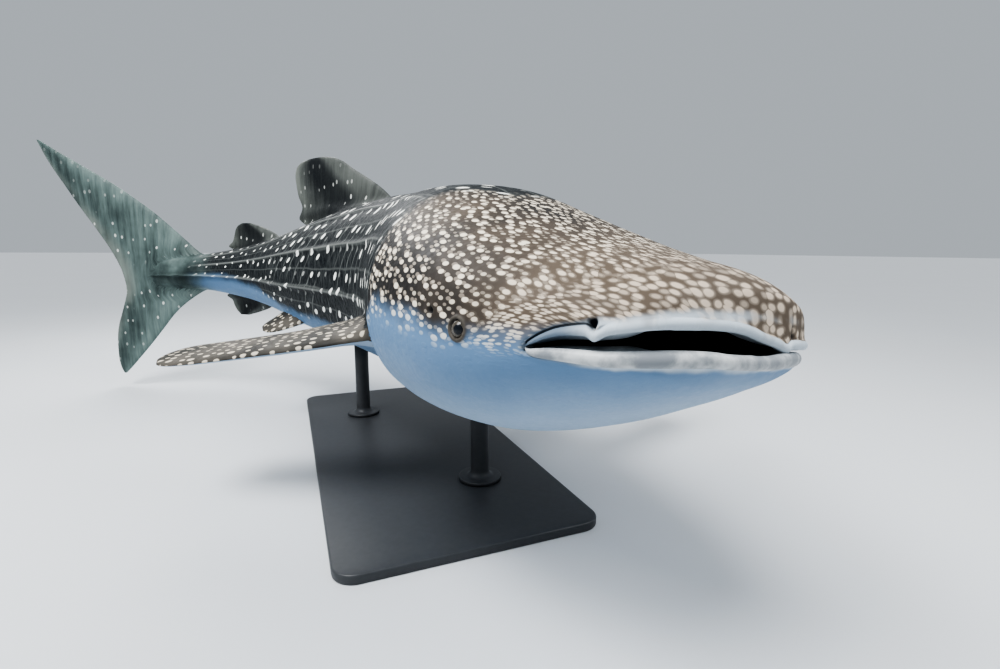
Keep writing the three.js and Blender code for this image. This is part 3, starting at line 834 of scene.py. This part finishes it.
for name in ("lie", "zone", "shade_and_marks", "lip", "snout"):
    layer = skin_bm.loops.layers.uv.new(name)
    for vert, facts in zip(verts, told):
        for loop in vert.link_loops:
            loop[layer].uv = facts[name]
bmesh.ops.reverse_faces(skin_bm, faces=skin_bm.faces)
skin_bm.normal_update()
for vert, facts in zip(verts, told):
    vert.co += vert.normal * facts["raised"] * MM
near_lips = [
    vert
    for vert, row in zip(verts, rows_of)
    if LAST_HEAD - 4 < row < LAST_ROLL + 3 and not vert.is_boundary
]
smooth(skin_bm, near_lips, 4)
close(skin_bm, 0.05)


# The fins: firm blades of skin over cartilage, rounded in front and thin behind, that grow out of
# the body in a soft hollow; two on the back, one under the tail, the tail fin's two lobes and
# the paired fins. They are modelled as lofts and joined to the body's skin.
FIN_EDGE = 4
DORSAL_FIRST = [
    # up, leading edge, trailing edge, thickness
    (330, 2180, 3320, 90),
    (385, 2280, 3420, 84),
    (410, 2310, 3498, 80),
    (450, 2360, 3462, 76),
    (500, 2425, 3430, 70),
    (580, 2550, 3470, 60),
    (660, 2705, 3490, 50),
    (720, 2830, 3497, 41),
    (772, 2925, 3478, 33),
    (805, 3020, 3425, 26),
    (822, 3130, 3330, 16),
]
DORSAL_SECOND = [
    (165, 3540, 4230, 56),
    (200, 3600, 4270, 52),
    (216, 3625, 4330, 48),
    (262, 3690, 4276, 42),
    (313, 3772, 4254, 35),
    (352, 3872, 4240, 29),
    (385, 3985, 4214, 22),
    (406, 4075, 4168, 12),
]
ANAL = [
    (-326, 4160, 4248, 12),
    (-290, 4020, 4286, 23),
    (-250, 3900, 4308, 30),
    (-210, 3830, 4322, 36),
    (-168, 3775, 4385, 42),
    (-150, 3750, 4330, 44),
    (-110, 3700, 4290, 48),
]
CAUDAL = [
    (-838, 5292, 5312, 8),
    (-790, 5245, 5330, 18),
    (-707, 5170, 5341, 26),
    (-587, 5063, 5338, 33),
    (-457, 4953, 5320, 40),
    (-330, 4846, 5278, 48),
    (-220, 4740, 5240, 56),
    (-134, 4560, 5219, 70),
    (0, 4450, 5236, 80),
    (162, 4577, 5295, 72),
    (345, 4775, 5393, 60),
    (503, 4953, 5487, 50),
    (620, 5105, 5553, 42),
    (729, 5257, 5612, 36),
    (824, 5410, 5665, 30),
    (889, 5513, 5697, 24),
    (960, 5625, 5727, 16),
    (1035, 5738, 5756, 8),
]
# The paired fins: outwards along the span, leading edge, trailing edge, thickness; then the
# place of the root on the body and how the fin is swept back, droops and is pitched.
PECTORAL = [
    (-110, 0, 310, 78),
    (20, 0, 330, 74),
    (70, -4, 425, 70),
    (150, -10, 385, 62),
    (255, -18, 322, 54),
    (508, -28, 258, 42),
    (762, -27, 250, 32),
    (902, -12, 246, 26),
    (975, 20, 230, 20),
    (1020, 80, 184, 12),
]
PECTORAL_SET = {"at": 1305, "angle": 109.5, "sweep": 26, "droop": 8.3, "pitch": 6.6}
PELVIC = [
    (-70, 0, 210, 44),
    (10, 2, 225, 40),
    (45, 6, 290, 36),
    (110, 22, 240, 30),
    (190, 48, 215, 23),
    (250, 84, 200, 16),
    (280, 125, 180, 9),
]
PELVIC_SET = {"at": 3110, "angle": 139.5, "sweep": 38, "droop": 26, "pitch": 12}
FIN_ROWS = 44
FIN_AROUND = 44


def fin_bm(rows, put, root, tips, finish):
    """A fin as a closed sheet rolled round its outline; put places (span, back, thick) points."""
    lead = through(rows, 1)
    trail = through(rows, 2)
    thick = through(rows, 3)
    low, high = rows[0][0], rows[-1][0]
    made = bmesh.new()
    bmesh.ops.create_grid(made, x_segments=FIN_ROWS, y_segments=FIN_AROUND, size=1)
    layers = [made.loops.layers.uv.new(name) for name in ("lie", "zone", "lip")]
    far = max(abs(low - root), abs(high - root))
    facts = {}
    for vert in made.verts:
        # Rows crowd towards a tip, columns towards both edges.
        share = (vert.co.x + 1) / 2
        if "low" in tips and "high" in tips:
            share = 0.5 - 0.5 * math.cos(math.pi * share)
        elif "high" in tips:
            share = math.sin(math.pi / 2 * share)
        else:
            share = 1 - math.sin(math.pi / 2 * (1 - share))
        span = mixed(low, high, share)
        turn = math.pi * vert.co.y
        x = (1 - math.cos(turn)) / 2
        chord = trail(span) - lead(span)
        flare = 1 + 0.9 * bell(span - root, 38)
        half = (thick(span) - FIN_EDGE) * 1.3 * math.sqrt(x) * (1 - x) * flare
        half += FIN_EDGE / 2 * math.sqrt(max(1 - x ** 12, 0)) * min(1, 30 * x)
        out = math.copysign(half, vert.co.y)
        facts[vert] = [
            (span * MM, (lead(span) + x * chord) * MM),
            ((span - root) / far, x),
            (math.copysign(1, vert.co.y), 1.0),
        ]
        vert.co = put(span, lead(span) + x * chord, out)
    for face in made.faces:
        face.material_index = finish
        for loop in face.loops:
            for layer, value in zip(layers, facts[loop.vert]):
                loop[layer].uv = value
    close(made, 0.3)
    return made


def on_middle_line(span, back, thick):
    return bent((back, thick, span))


def paired(fin, side):
    """Where the points of a paired fin lie, from its root on the body's plain skin."""
    at, out, up = on_body(fin["at"], fin["angle"])
    root = bent((at, side * out, up))
    turn = math.radians(heading_at(at))
    forward = Vector((math.cos(turn), math.sin(turn), 0))
    outward = Vector((math.sin(turn), -math.cos(turn), 0)) * side
    sweep, droop, pitch = (math.radians(fin[key]) for key in ("sweep", "droop", "pitch"))
    span = outward * math.cos(sweep) * math.cos(droop)
    span -= forward * math.sin(sweep) * math.cos(droop) + Vector((0, 0, math.sin(droop)))
    level = (span * forward.dot(span) - forward).normalized()
    above = level.cross(span).normalized() * side
    if above.z < 0:
        above.negate()
    chord = level * math.cos(pitch) + above * math.sin(pitch)
    normal = above * math.cos(pitch) - level * math.sin(pitch)
    return lambda along, back, thick: root + (span * along + chord * back + normal * thick) * MM


FINS = [
    ("dorsal_first", DORSAL_FIRST, on_middle_line, 455, "high", FIN),
    ("dorsal_second", DORSAL_SECOND, on_middle_line, 235, "high", FIN),
    ("anal", ANAL, on_middle_line, -180, "low", FIN),
    ("caudal", CAUDAL, on_middle_line, 0, "low high", FIN),
    ("pectoral_right", PECTORAL, paired(PECTORAL_SET, 1), 10, "high", PAIRED),
    ("pectoral_left", PECTORAL, paired(PECTORAL_SET, -1), 10, "high", PAIRED),
    ("pelvic_right", PELVIC, paired(PELVIC_SET, 1), 8, "high", PAIRED),
    ("pelvic_left", PELVIC, paired(PELVIC_SET, -1), 8, "high", PAIRED),
]

# The skin's markings follow the animal's own: a brown-grey head packed with cream spots, a slate
# trunk with rows of white spots between pale lines and bars, and a pale belly without spots, with a
# blue shade painted on it.
HEAD_DARK = (0.030, 0.028, 0.027, 1)
HEAD_BROWN = (0.125, 0.100, 0.078, 1)
CREAM = (0.76, 0.69, 0.57, 1)
SNOUT_CREAM = (0.56, 0.47, 0.38, 1)
DULL_CREAM = (0.30, 0.26, 0.215, 1)
SLATE = (0.007, 0.009, 0.012, 1)
SLATE_GREY = (0.060, 0.066, 0.066, 1)
LINE_GREY = (0.19, 0.20, 0.19, 1)
SPOT_WHITE = (0.88, 0.89, 0.84, 1)
TAIL_DARK = (0.030, 0.044, 0.044, 1)
TAIL_LIGHT = (0.20, 0.265, 0.25, 1)
# The belly's pale colour with a blue shade painted on it, a darker blue next to the spotted flank.
BELLY_MARGIN_IN_BLUE_SHADE = (0.145, 0.245, 0.39, 1)
PALE_BELLY_IN_BLUE_SHADE = (0.35, 0.45, 0.57, 1)
# The pale band over the upper lip, and the shade painted on it towards the corner of the mouth.
LIP_BAND = (0.52, 0.58, 0.63, 1)
LIP_SHADE = (0.19, 0.24, 0.30, 1)
EYE_RIM_DARK = (0.045, 0.042, 0.038, 1)
EYE_RIM_BROWN = (0.15, 0.135, 0.115, 1)
# Near black, for the shade painted into the crease, the slits and openings, and for the pupils.
PAINTED_SHADE_AND_PUPIL_BLACK = (0.010, 0.013, 0.018, 1)
# Cells of the spots: on the head along and round the body, in shares of its girth; by the upper
# lip along and over it, to the metre; then rows to the metre on the trunk and tail, how they
# slant, and how many there are round the body with the shift that centres them.
HEAD_CELLS = (9.4, 17.5)
SNOUT_CELLS = (31, 42)
ROWS_ALONG = 9.5
TRUNK_SLANT = 2.3
TRUNK_ROUND = (3.82, 0.667)
TAIL_SLANT = 0.9
TAIL_ROUND = (2.4, 0.3)
GRAIN_SCALE = 60


def cell_spots(finish, spread, small, large, randomness):
    """Soft spots, one to a cell, of sizes between small and large, and each cell's own chance."""
    inputs = {"Vector": spread, "Scale": 1.0, "Randomness": randomness}
    cells = finish.node("TexVoronoi", inputs, voronoi_dimensions="2D")
    chance = finish.node("SeparateColor", {0: cells.outputs["Color"]}).outputs[0]
    size = finish.scaled(chance, large - small, small)
    share = finish.math("DIVIDE", cells.outputs["Distance"], size)
    return finish.ramp(share, 0.72, 1.08, 1.0, 0.0), chance


def near_line(finish, value, width):
    """1 where a value is close to a whole number, 0 elsewhere."""
    away = finish.math("PINGPONG", value, 0.5)
    return finish.ramp(away, 0.0, width, 1.0, 0.0)


def wandering(finish, value, scale, amount):
    """A value that wanders a little from place to place."""
    stray = finish.math("SUBTRACT", finish.noise(scale, detail=2.0), 0.5)
    return finish.scaled(stray, amount, value)


def grained(finish, smoothest):
    """The skin's fine grain, which also breaks up its gloss."""
    grain = finish.noise(GRAIN_SCALE, detail=4.0)
    finish.rough(finish.ramp(grain, 0.2, 0.8, smoothest, 0.62))
    return grain


skin_finish = Finish("spotted_skin", roughness=0.5, specular=0.12)
along, round_body = skin_finish.map("lie")
above_belly, at_place = skin_finish.map("zone")
# slit: the shade painted into the slits and openings, below 0 on the eye rims.
slit, from_ridge = skin_finish.map("shade_and_marks")
from_lip, from_fold = skin_finish.map("lip")
along_lip, over_lip = skin_finish.map("snout")
grain = grained(skin_finish, 0.40)
along = wandering(skin_finish, along, 7.0, 0.035)
round_wandering = wandering(skin_finish, round_body, 6.0, 0.035)

# The head: bright spots among duller, smaller ones, packed together towards the snout, and in
# lines along the upper lip close to it.
snout = skin_finish.ramp(at_place, 0.06, 0.50, 1.0, 0.0)
by_lip = skin_finish.ramp(wandering(skin_finish, over_lip, 12.0, 0.06), 0.11, 0.18, 1.0, 0.0)
along_lip = wandering(skin_finish, along_lip, 8.0, 0.03)
over_lip = wandering(skin_finish, over_lip, 9.0, 0.03)
head_spread = skin_finish.spread(along, HEAD_CELLS[0], round_wandering, HEAD_CELLS[1])
lip_spread = skin_finish.spread(along_lip, SNOUT_CELLS[0], over_lip, SNOUT_CELLS[1])
bright, chance = cell_spots(skin_finish, head_spread, 0.19, 0.40, 0.68)
lip_bright, lip_chance = cell_spots(skin_finish, lip_spread, 0.28, 0.46, 0.7)
packed, _ = cell_spots(skin_finish, head_spread, 0.40, 0.55, 0.68)
lip_packed, _ = cell_spots(skin_finish, lip_spread, 0.46, 0.62, 0.7)
bright = skin_finish.between(by_lip, bright, lip_bright)
chance = skin_finish.between(by_lip, chance, lip_chance)
packed = skin_finish.between(by_lip, packed, lip_packed)
shifted = skin_finish.node("VectorMath", {0: head_spread, 1: (0.5, 0.45, 0)}, operation="ADD")
dull, _ = cell_spots(skin_finish, shifted.outputs[0], 0.16, 0.34, 0.9)
dull = skin_finish.times(dull, skin_finish.math("SUBTRACT", 1.0, by_lip))
patches = skin_finish.noise(2.2, detail=4.0)
ground = skin_finish.ramp(skin_finish.scaled(snout, 0.35, patches), 0.35, 0.80)
head_ground = skin_finish.mix(ground, HEAD_DARK, HEAD_BROWN)
head_color = skin_finish.mix(skin_finish.times(dull, 0.75), head_ground, DULL_CREAM)
packed = skin_finish.times(packed, skin_finish.times(snout, 0.6))
head_color = skin_finish.mix(packed, head_color, DULL_CREAM)
bright = skin_finish.times(bright, skin_finish.ramp(chance, 0.1, 0.7, 0.35, 1.0))
head_color = skin_finish.mix(bright, head_color, skin_finish.mix(snout, CREAM, SNOUT_CREAM))

# The trunk: rows of white spots, thin bars between them and pale lines along the ridges.
station = skin_finish.times(wandering(skin_finish, at_place, 5.0, 0.03), -ROWS_ALONG)
from_top = skin_finish.math("ABSOLUTE", round_wandering)
trunk_slant = skin_finish.scaled(from_top, TRUNK_SLANT, station)
trunk_rows = skin_finish.scaled(round_wandering, *TRUNK_ROUND)
trunk_spread = skin_finish.vector(trunk_slant, trunk_rows)
white, white_chance = cell_spots(skin_finish, trunk_spread, 0.13, 0.22, 0.45)
tail_slant = skin_finish.scaled(from_top, TAIL_SLANT, station)
tail_rows = skin_finish.scaled(round_wandering, *TAIL_ROUND)
tail_white, _ = cell_spots(skin_finish, skin_finish.vector(tail_slant, tail_rows), 0.08, 0.15, 0.4)
on_tail = skin_finish.ramp(at_place, 3.35, 3.45)
white = skin_finish.times(white, skin_finish.ramp(white_chance, 0.20, 0.45, 0.15, 1.0))
white = skin_finish.between(on_tail, white, tail_white)
slanting = skin_finish.between(on_tail, trunk_slant, tail_slant)
bars = near_line(skin_finish, wandering(skin_finish, slanting, 3.0, 0.6), 0.10)
bars = skin_finish.times(bars, skin_finish.ramp(skin_finish.noise(3.0), 0.42, 0.60, 0.05, 0.75))
ridge_line = skin_finish.ramp(from_ridge, 0.0, 0.012, 1.0, 0.0)
ridge_line = skin_finish.times(ridge_line, skin_finish.ramp(at_place, 1.0, 1.5))
row_line = near_line(skin_finish, wandering(skin_finish, trunk_rows, 3.0, 0.3), 0.09)
lines = skin_finish.math("MAXIMUM", ridge_line, skin_finish.times(row_line, 0.45))
lines = skin_finish.math("MAXIMUM", skin_finish.times(lines, 0.8), bars)
streak_place = skin_finish.spread(along, 26, round_body, 5)
streaks = skin_finish.noise(1.0, detail=4.0, roughness=0.65, over=streak_place)
slate = skin_finish.mix(skin_finish.ramp(streaks, 0.35, 0.75), SLATE, SLATE_GREY)
trunk_color = skin_finish.mix(lines, slate, LINE_GREY)
trunk_color = skin_finish.mix(white, trunk_color, SPOT_WHITE)
behind_head = skin_finish.ramp(wandering(skin_finish, at_place, 3.5, 0.50), 1.0, 1.17)
spotted = skin_finish.mix(behind_head, head_color, trunk_color)

# The belly and the band over the upper lip are pale, and the spotted skin fades into them; a blue
# shade is painted on the belly, and a darker shade on the band towards the corner of the mouth. Shade
# is painted into the crease, the slits and openings, and the tail stock takes the tail fin's colours.
edge = wandering(skin_finish, above_belly, 9.0, 0.07)
# Painted blue shade on the belly, darker blue next to the spotted skin.
belly = skin_finish.mix(skin_finish.ramp(edge, -0.45, -0.05, 1.0, 0.0), BELLY_MARGIN_IN_BLUE_SHADE, PALE_BELLY_IN_BLUE_SHADE)
ghost = skin_finish.times(bright, skin_finish.ramp(edge, -0.045, 0.0, 0.0, 0.5))
ghost = skin_finish.times(ghost, skin_finish.math("SUBTRACT", 1.0, behind_head))
belly = skin_finish.mix(ghost, belly, SPOT_WHITE)
whole = skin_finish.mix(skin_finish.ramp(edge, -0.03, 0.055), belly, spotted)
band = skin_finish.ramp(wandering(skin_finish, from_lip, 16.0, 0.030), -0.004, 0.020, 1.0, 0.0)
# Towards the corner of the mouth, the pale band is painted darker with shade.
shaded = skin_finish.ramp(at_place, 0.085, 0.16)
whole = skin_finish.mix(band, whole, skin_finish.mix(shaded, LIP_BAND, LIP_SHADE))
eye_rim = skin_finish.ramp(slit, -0.7, 0.0, 1.0, 0.0)
whole = skin_finish.mix(eye_rim, whole, skin_finish.mix(grain, EYE_RIM_DARK, EYE_RIM_BROWN))
# Shade is painted into the crease, the gill slits, the spiracles and the nostrils.
crease = skin_finish.ramp(from_fold, 0.001, 0.004, 0.85, 0.0)
whole = skin_finish.mix(skin_finish.math("MAXIMUM", crease, slit), whole, PAINTED_SHADE_AND_PUPIL_BLACK)
tail = skin_finish.ramp(wandering(skin_finish, at_place, 5.0, 0.2), 4.35, 4.65)
clouds = skin_finish.ramp(skin_finish.noise(5.0, detail=4.0), 0.3, 0.9)
skin_finish.color(skin_finish.mix(tail, whole, skin_finish.mix(clouds, TAIL_DARK, TAIL_LIGHT)))
folds = skin_finish.bump(skin_finish.noise(9.0), 0.25, 0.02)
skin_finish.bump(skin_finish.math("ADD", grain, bright), 0.25, 0.002, under=folds)

# Fins on the middle line: slate with grey streaks that run up the blade, a dark smudge in its
# middle and a paler rear edge; the tail fin is lighter and greener.
FIN_DARK = (0.016, 0.019, 0.020, 1)
FIN_GREY = (0.13, 0.14, 0.13, 1)
FIN_REAR = (0.26, 0.28, 0.25, 1)
fin_finish = Finish("fin_skin", roughness=0.5, specular=0.16)
span, chord_place = fin_finish.map("lie")
reach, chord = fin_finish.map("zone")
streak_place = fin_finish.spread(span, 2.2, chord_place, 22)
streaks = fin_finish.noise(1.0, detail=5.0, roughness=0.7, over=streak_place)
clouds = fin_finish.noise(3.4)
front = fin_finish.scaled(fin_finish.ramp(chord, 0.15, 0.6, 1.0, 0.0), 0.25, clouds)
lit = fin_finish.scaled(streaks, 0.7, fin_finish.times(front, 0.5))
on_tail = fin_finish.ramp(chord_place, 4.3, 4.8)
fin_light = fin_finish.mix(on_tail, FIN_GREY, TAIL_LIGHT)
fin_dark = fin_finish.mix(on_tail, FIN_DARK, TAIL_DARK)
fin_color = fin_finish.mix(fin_finish.ramp(lit, 0.35, 1.0), fin_dark, fin_light)
smudge_ends = fin_finish.ramp(chord, 0.6, 0.85, 1.0, 0.0)
smudge = fin_finish.times(fin_finish.ramp(chord, 0.22, 0.42), smudge_ends)
smudge = fin_finish.times(smudge, fin_finish.ramp(on_tail, 0.0, 1.0, 0.75, 0.0))
fin_color = fin_finish.mix(smudge, fin_color, SLATE)
rear_clouds = fin_finish.ramp(clouds, 0.35, 0.6, 0.1, 0.5)
pale_rear = fin_finish.times(fin_finish.ramp(chord, 0.8, 1.0), rear_clouds)
fin_color = fin_finish.mix(pale_rear, fin_color, FIN_REAR)
fin_spread = fin_finish.spread(span, 9, chord_place, 14)
fin_spots, fin_chance = cell_spots(fin_finish, fin_spread, 0.05, 0.15, 0.9)
fin_spots = fin_finish.times(fin_spots, fin_finish.ramp(fin_chance, 0.4, 0.6))
away = fin_finish.math("ABSOLUTE", reach)
low = fin_finish.times(fin_finish.ramp(away, 0.05, 0.18), fin_finish.ramp(away, 0.2, 0.8, 0.6, 0.1))
fin_finish.color(fin_finish.mix(fin_finish.times(fin_spots, low), fin_color, SPOT_WHITE))
fin_finish.bump(fin_finish.scaled(streaks, 0.6, grained(fin_finish, 0.42)), 0.25, 0.003)

# Paired fins: spotted brown-grey above, pale below with the belly's painted blue shade, with a pale
# edge behind.
PAIRED_DARK = (0.035, 0.034, 0.031, 1)
PAIRED_BROWN = (0.115, 0.105, 0.09, 1)
PAIRED_EDGE = (0.36, 0.37, 0.35, 1)
paired_finish = Finish("paired_fin_skin", roughness=0.5, specular=0.16)
span, chord_place = paired_finish.map("lie")
_, chord = paired_finish.map("zone")
upper_face, _ = paired_finish.map("lip")
spots, _ = cell_spots(
    paired_finish, paired_finish.spread(span, 17, chord_place, 30), 0.16, 0.32, 0.6
)
clouds = paired_finish.ramp(paired_finish.noise(5.0, detail=4.0), 0.3, 0.7)
above = paired_finish.mix(clouds, PAIRED_DARK, PAIRED_BROWN)
above = paired_finish.mix(paired_finish.times(spots, 0.7), above, CREAM)
above = paired_finish.mix(paired_finish.ramp(chord, 0.90, 0.98), above, PAIRED_EDGE)
paired_finish.color(paired_finish.mix(paired_finish.ramp(upper_face, -0.2, 0.2), PALE_BELLY_IN_BLUE_SHADE, above))
paired_finish.bump(grained(paired_finish, 0.42), 0.25, 0.003)

# Lips: whitish-grey, mottled, with a few dark specks; the inside of the mouth is painted darker with
# shade deeper in.
LIP_GREY = (0.26, 0.28, 0.30, 1)
LIP_WHITE = (0.62, 0.64, 0.64, 1)
LIP_SPECK = (0.03, 0.03, 0.03, 1)
MOUTH_EDGE = (0.10, 0.11, 0.12, 1)
MOUTH_DEEP_SHADE = (0.004, 0.004, 0.005, 1)
lip_finish = Finish("pale_lip", roughness=0.42)
mottled = lip_finish.noise(14.0, detail=5.0, roughness=0.6)
lip_color = lip_finish.mix(lip_finish.ramp(mottled, 0.35, 0.68), LIP_GREY, LIP_WHITE)
cells = lip_finish.node("TexVoronoi", {"Vector": lip_finish.place(), "Scale": 9.0})
specks = lip_finish.ramp(cells.outputs["Distance"], 0.035, 0.07, 1.0, 0.0)
lip_finish.color(lip_finish.mix(specks, lip_color, LIP_SPECK))
lip_finish.bump(mottled, 0.3, 0.006)
mouth_finish = Finish("inside_of_the_mouth", roughness=0.6)
_, deep = mouth_finish.map("shade_and_marks")
# The lining is painted from grey at the lips to near black deeper in, as shade.
mouth_finish.color(mouth_finish.mix(mouth_finish.ramp(deep, 0.0, 0.10), MOUTH_EDGE, MOUTH_DEEP_SHADE))
mouth_finish.bump(mouth_finish.noise(30.0), 0.3, 0.004)
finishes = (skin_finish, fin_finish, lip_finish, mouth_finish, paired_finish)
skin_materials = [finish.material for finish in finishes]
skin = add_mesh("skin", skin_bm, skin_materials)
for name, rows, put, root, tips, finish in FINS:
    fin = add_mesh(name, fin_bm(rows, put, root, tips, finish), skin_materials)
    union = skin.modifiers.new(name, "BOOLEAN")
    union.operation = "UNION"
    union.solver = "MANIFOLD"
    union.object = fin
    bpy.context.view_layer.objects.active = skin
    bpy.ops.object.modifier_apply(modifier=name)
    bpy.data.meshes.remove(fin.data)

# The joins are smoothed so that each fin grows out of the body.
joined_bm = bmesh.new()
joined_bm.from_mesh(skin.data)
seam = set()
for edge in joined_bm.edges:
    kinds = {face.material_index for face in edge.link_faces}
    if SKIN in kinds and kinds & {FIN, PAIRED}:
        seam.update(edge.verts)
for spread in range(5, 0, -1):
    band = set(seam)
    for _ in range(spread):
        band.update(edge.other_vert(vert) for vert in list(band) for edge in vert.link_edges)
    smooth(joined_bm, list(band), 2)
joined_bm.to_mesh(skin.data)
joined_bm.free()
skin.data.shade_smooth()
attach(skin, "root")
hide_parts("head", "lower_jaw", "gill_region", "trunk_front", "trunk_rear", "tail_stock")
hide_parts("dorsal_fin_first", "dorsal_fin_second", "anal_fin")
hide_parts("caudal_fin_upper", "caudal_fin_lower", "pectoral_fin_right")
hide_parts("pectoral_fin_left", "pelvic_fin_right", "pelvic_fin_left")

# The eyes: small round eyeballs with a wet gloss, each set in its raised rim of skin beyond the
# corner of the mouth and turned a little forwards, a dark pupil inside a grey-brown iris.
EYE_RADIUS = 27
EYE_PROUD = 12
EYE_PUPIL = 12
EYE_IRIS = 21
EYE_FORWARDS = 0.42
IRIS_DARK = (0.05, 0.045, 0.037, 1)
IRIS_BROWN = (0.13, 0.115, 0.095, 1)
EYE_EDGE = (0.02, 0.02, 0.022, 1)
eye_finish = Finish("wet_eye", roughness=0.16, specular=0.4)
from_middle, _ = eye_finish.map("gaze")
iris = eye_finish.mix(eye_finish.noise(160.0), IRIS_DARK, IRIS_BROWN)
past_pupil = eye_finish.ramp(from_middle, EYE_PUPIL * MM, (EYE_PUPIL + 1) * MM)
past_iris = eye_finish.ramp(from_middle, EYE_IRIS * MM, (EYE_IRIS + 2) * MM)
seen = eye_finish.mix(past_pupil, PAINTED_SHADE_AND_PUPIL_BLACK, iris)
eye_finish.color(eye_finish.mix(past_iris, seen, EYE_EDGE))
for side, name in ((1, "eye_right"), (-1, "eye_left")):
    at, out, up = eye_centre
    here = bent((at, side * out, up))
    aft = bent((at + 5, side * on_body(at + 5, EYE[1]).y, up)) - here
    below = bent((at, side * on_body(at, EYE[1] + 1).y, on_body(at, EYE[1] + 1).z)) - here
    outward = aft.cross(below).normalized()
    if outward.dot(here - bent((at, 0, up))) < 0:
        outward.negate()
    ball_bm = bmesh.new()
    bmesh.ops.create_uvsphere(ball_bm, u_segments=48, v_segments=28, radius=EYE_RADIUS * MM)
    layer = ball_bm.loops.layers.uv.new("gaze")
    for face in ball_bm.faces:
        for loop in face.loops:
            loop[layer].uv = (math.hypot(loop.vert.co.x, loop.vert.co.y), loop.vert.co.z)
    gaze = outward * 2 * EYE_FORWARDS - aft.normalized() * EYE_FORWARDS
    turned = Vector((0, 0, 1)).rotation_difference(gaze).to_matrix().to_4x4()
    set_in = Matrix.Translation(here - outward * (EYE_RADIUS - EYE_PROUD) * MM) @ turned
    bmesh.ops.transform(ball_bm, matrix=set_in, verts=ball_bm.verts)
    eye = add_mesh(name + "_ball", ball_bm, [eye_finish.material])
    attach(eye, "root")
    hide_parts(name)

# The stand: two turned steel rods on round feet, each ending at the belly and cut to its slope,
# on a flat base board with rounded corners; all coated in a dark satin paint.
ROD_RADIUS = 45
ROD_FOOT = 105
ROD_FOOT_HEIGHT = 18
ROD_FILLET = 30
ROD_EDGE = 5
ROD_BLANK = 400
BASE_LENGTH = 2400
BASE_WIDTH = 1100
BASE_HEIGHT = 40
BASE_CORNER = 90
BASE_EDGE = 8
PAINT_DARK = (0.045, 0.048, 0.052, 1)
PAINT_LIGHT = (0.060, 0.063, 0.068, 1)
stand_finish = Finish("satin_paint", roughness=0.42)
flecks = stand_finish.noise(40.0, detail=2.0)
stand_finish.color(stand_finish.mix(flecks, PAINT_DARK, PAINT_LIGHT))
skin_tree = BVHTree.FromObject(skin, bpy.context.evaluated_depsgraph_get())
rod_profile = [(0, 0), (ROD_FOOT, 0), (ROD_FOOT, ROD_FOOT_HEIGHT - ROD_EDGE)]
for step in range(1, 5):
    turn = math.pi / 2 * step / 4
    across = ROD_FOOT - ROD_EDGE + ROD_EDGE * math.cos(turn)
    rod_profile.append((across, ROD_FOOT_HEIGHT - ROD_EDGE + ROD_EDGE * math.sin(turn)))
for step in range(9):
    turn = math.pi / 2 * step / 8
    across = ROD_RADIUS + ROD_FILLET * (1 - math.sin(turn))
    rod_profile.append((across, ROD_FOOT_HEIGHT + ROD_FILLET * (1 - math.cos(turn))))
rod_profile += [(ROD_RADIUS, ROD_BLANK / 2), (ROD_RADIUS, ROD_BLANK - 20)]
rod_profile += [(ROD_RADIUS, ROD_BLANK), (0, ROD_BLANK)]
for at, name in zip(STAND_RODS, ("stand_rod_front", "stand_rod_rear")):
    rod_bm = bmesh.new()
    corners = [rod_bm.verts.new(point(across, 0, high)) for across, high in rod_profile]
    for a, b in zip(corners, corners[1:]):
        rod_bm.edges.new((a, b))
    bmesh.ops.spin(
        rod_bm, geom=rod_bm.verts[:] + rod_bm.edges[:], cent=(0, 0, 0), axis=(0, 0, 1),
        dvec=(0, 0, 0), angle=2 * math.pi, steps=48, use_merge=True,
    )
    close(rod_bm, 0.05)
    stands_at = bent((at, 0, 0))
    stands_at.z = (BASE_HEIGHT + 0.35) * MM
    bmesh.ops.translate(rod_bm, verts=rod_bm.verts, vec=stands_at)
    top = max(vert.co.z for vert in rod_bm.verts)
    for vert in rod_bm.verts:
        if vert.co.z > top - 1 * MM:
            hit = skin_tree.ray_cast(Vector((vert.co.x, vert.co.y, 0.1)), Vector((0, 0, 1)))[0]
            vert.co.z = hit.z - 0.4 * MM
    rod = add_mesh(name + "_turned", rod_bm, [stand_finish.material])
    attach(rod, "root")
    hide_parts(name)


def round_off(bm, edges, radius, segments):
    bmesh.ops.bevel(
        bm, geom=edges, offset=radius * MM, offset_type="OFFSET", segments=segments,
        profile=0.5, affect="EDGES", material=-1,
    )


base_bm = bmesh.new()
bmesh.ops.create_cube(base_bm, size=1)
for vert in base_bm.verts:
    vert.co = point(vert.co.x * BASE_LENGTH, vert.co.y * BASE_WIDTH, (vert.co.z + 0.5) * BASE_HEIGHT)
upright = [edge for edge in base_bm.edges if abs(edge.verts[0].co.z - edge.verts[1].co.z) > 1 * MM]
round_off(base_bm, upright, BASE_CORNER, 12)
rim = [edge for edge in base_bm.edges if abs(edge.verts[0].co.z - edge.verts[1].co.z) < 1e-6]
rim = [edge for edge in rim if any(abs(face.normal.z) > 0.9 for face in edge.link_faces)]
round_off(base_bm, rim, BASE_EDGE, 4)
base = add_mesh("stand_base_plate", base_bm, [stand_finish.material])
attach(base, "root")
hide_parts("stand_base")
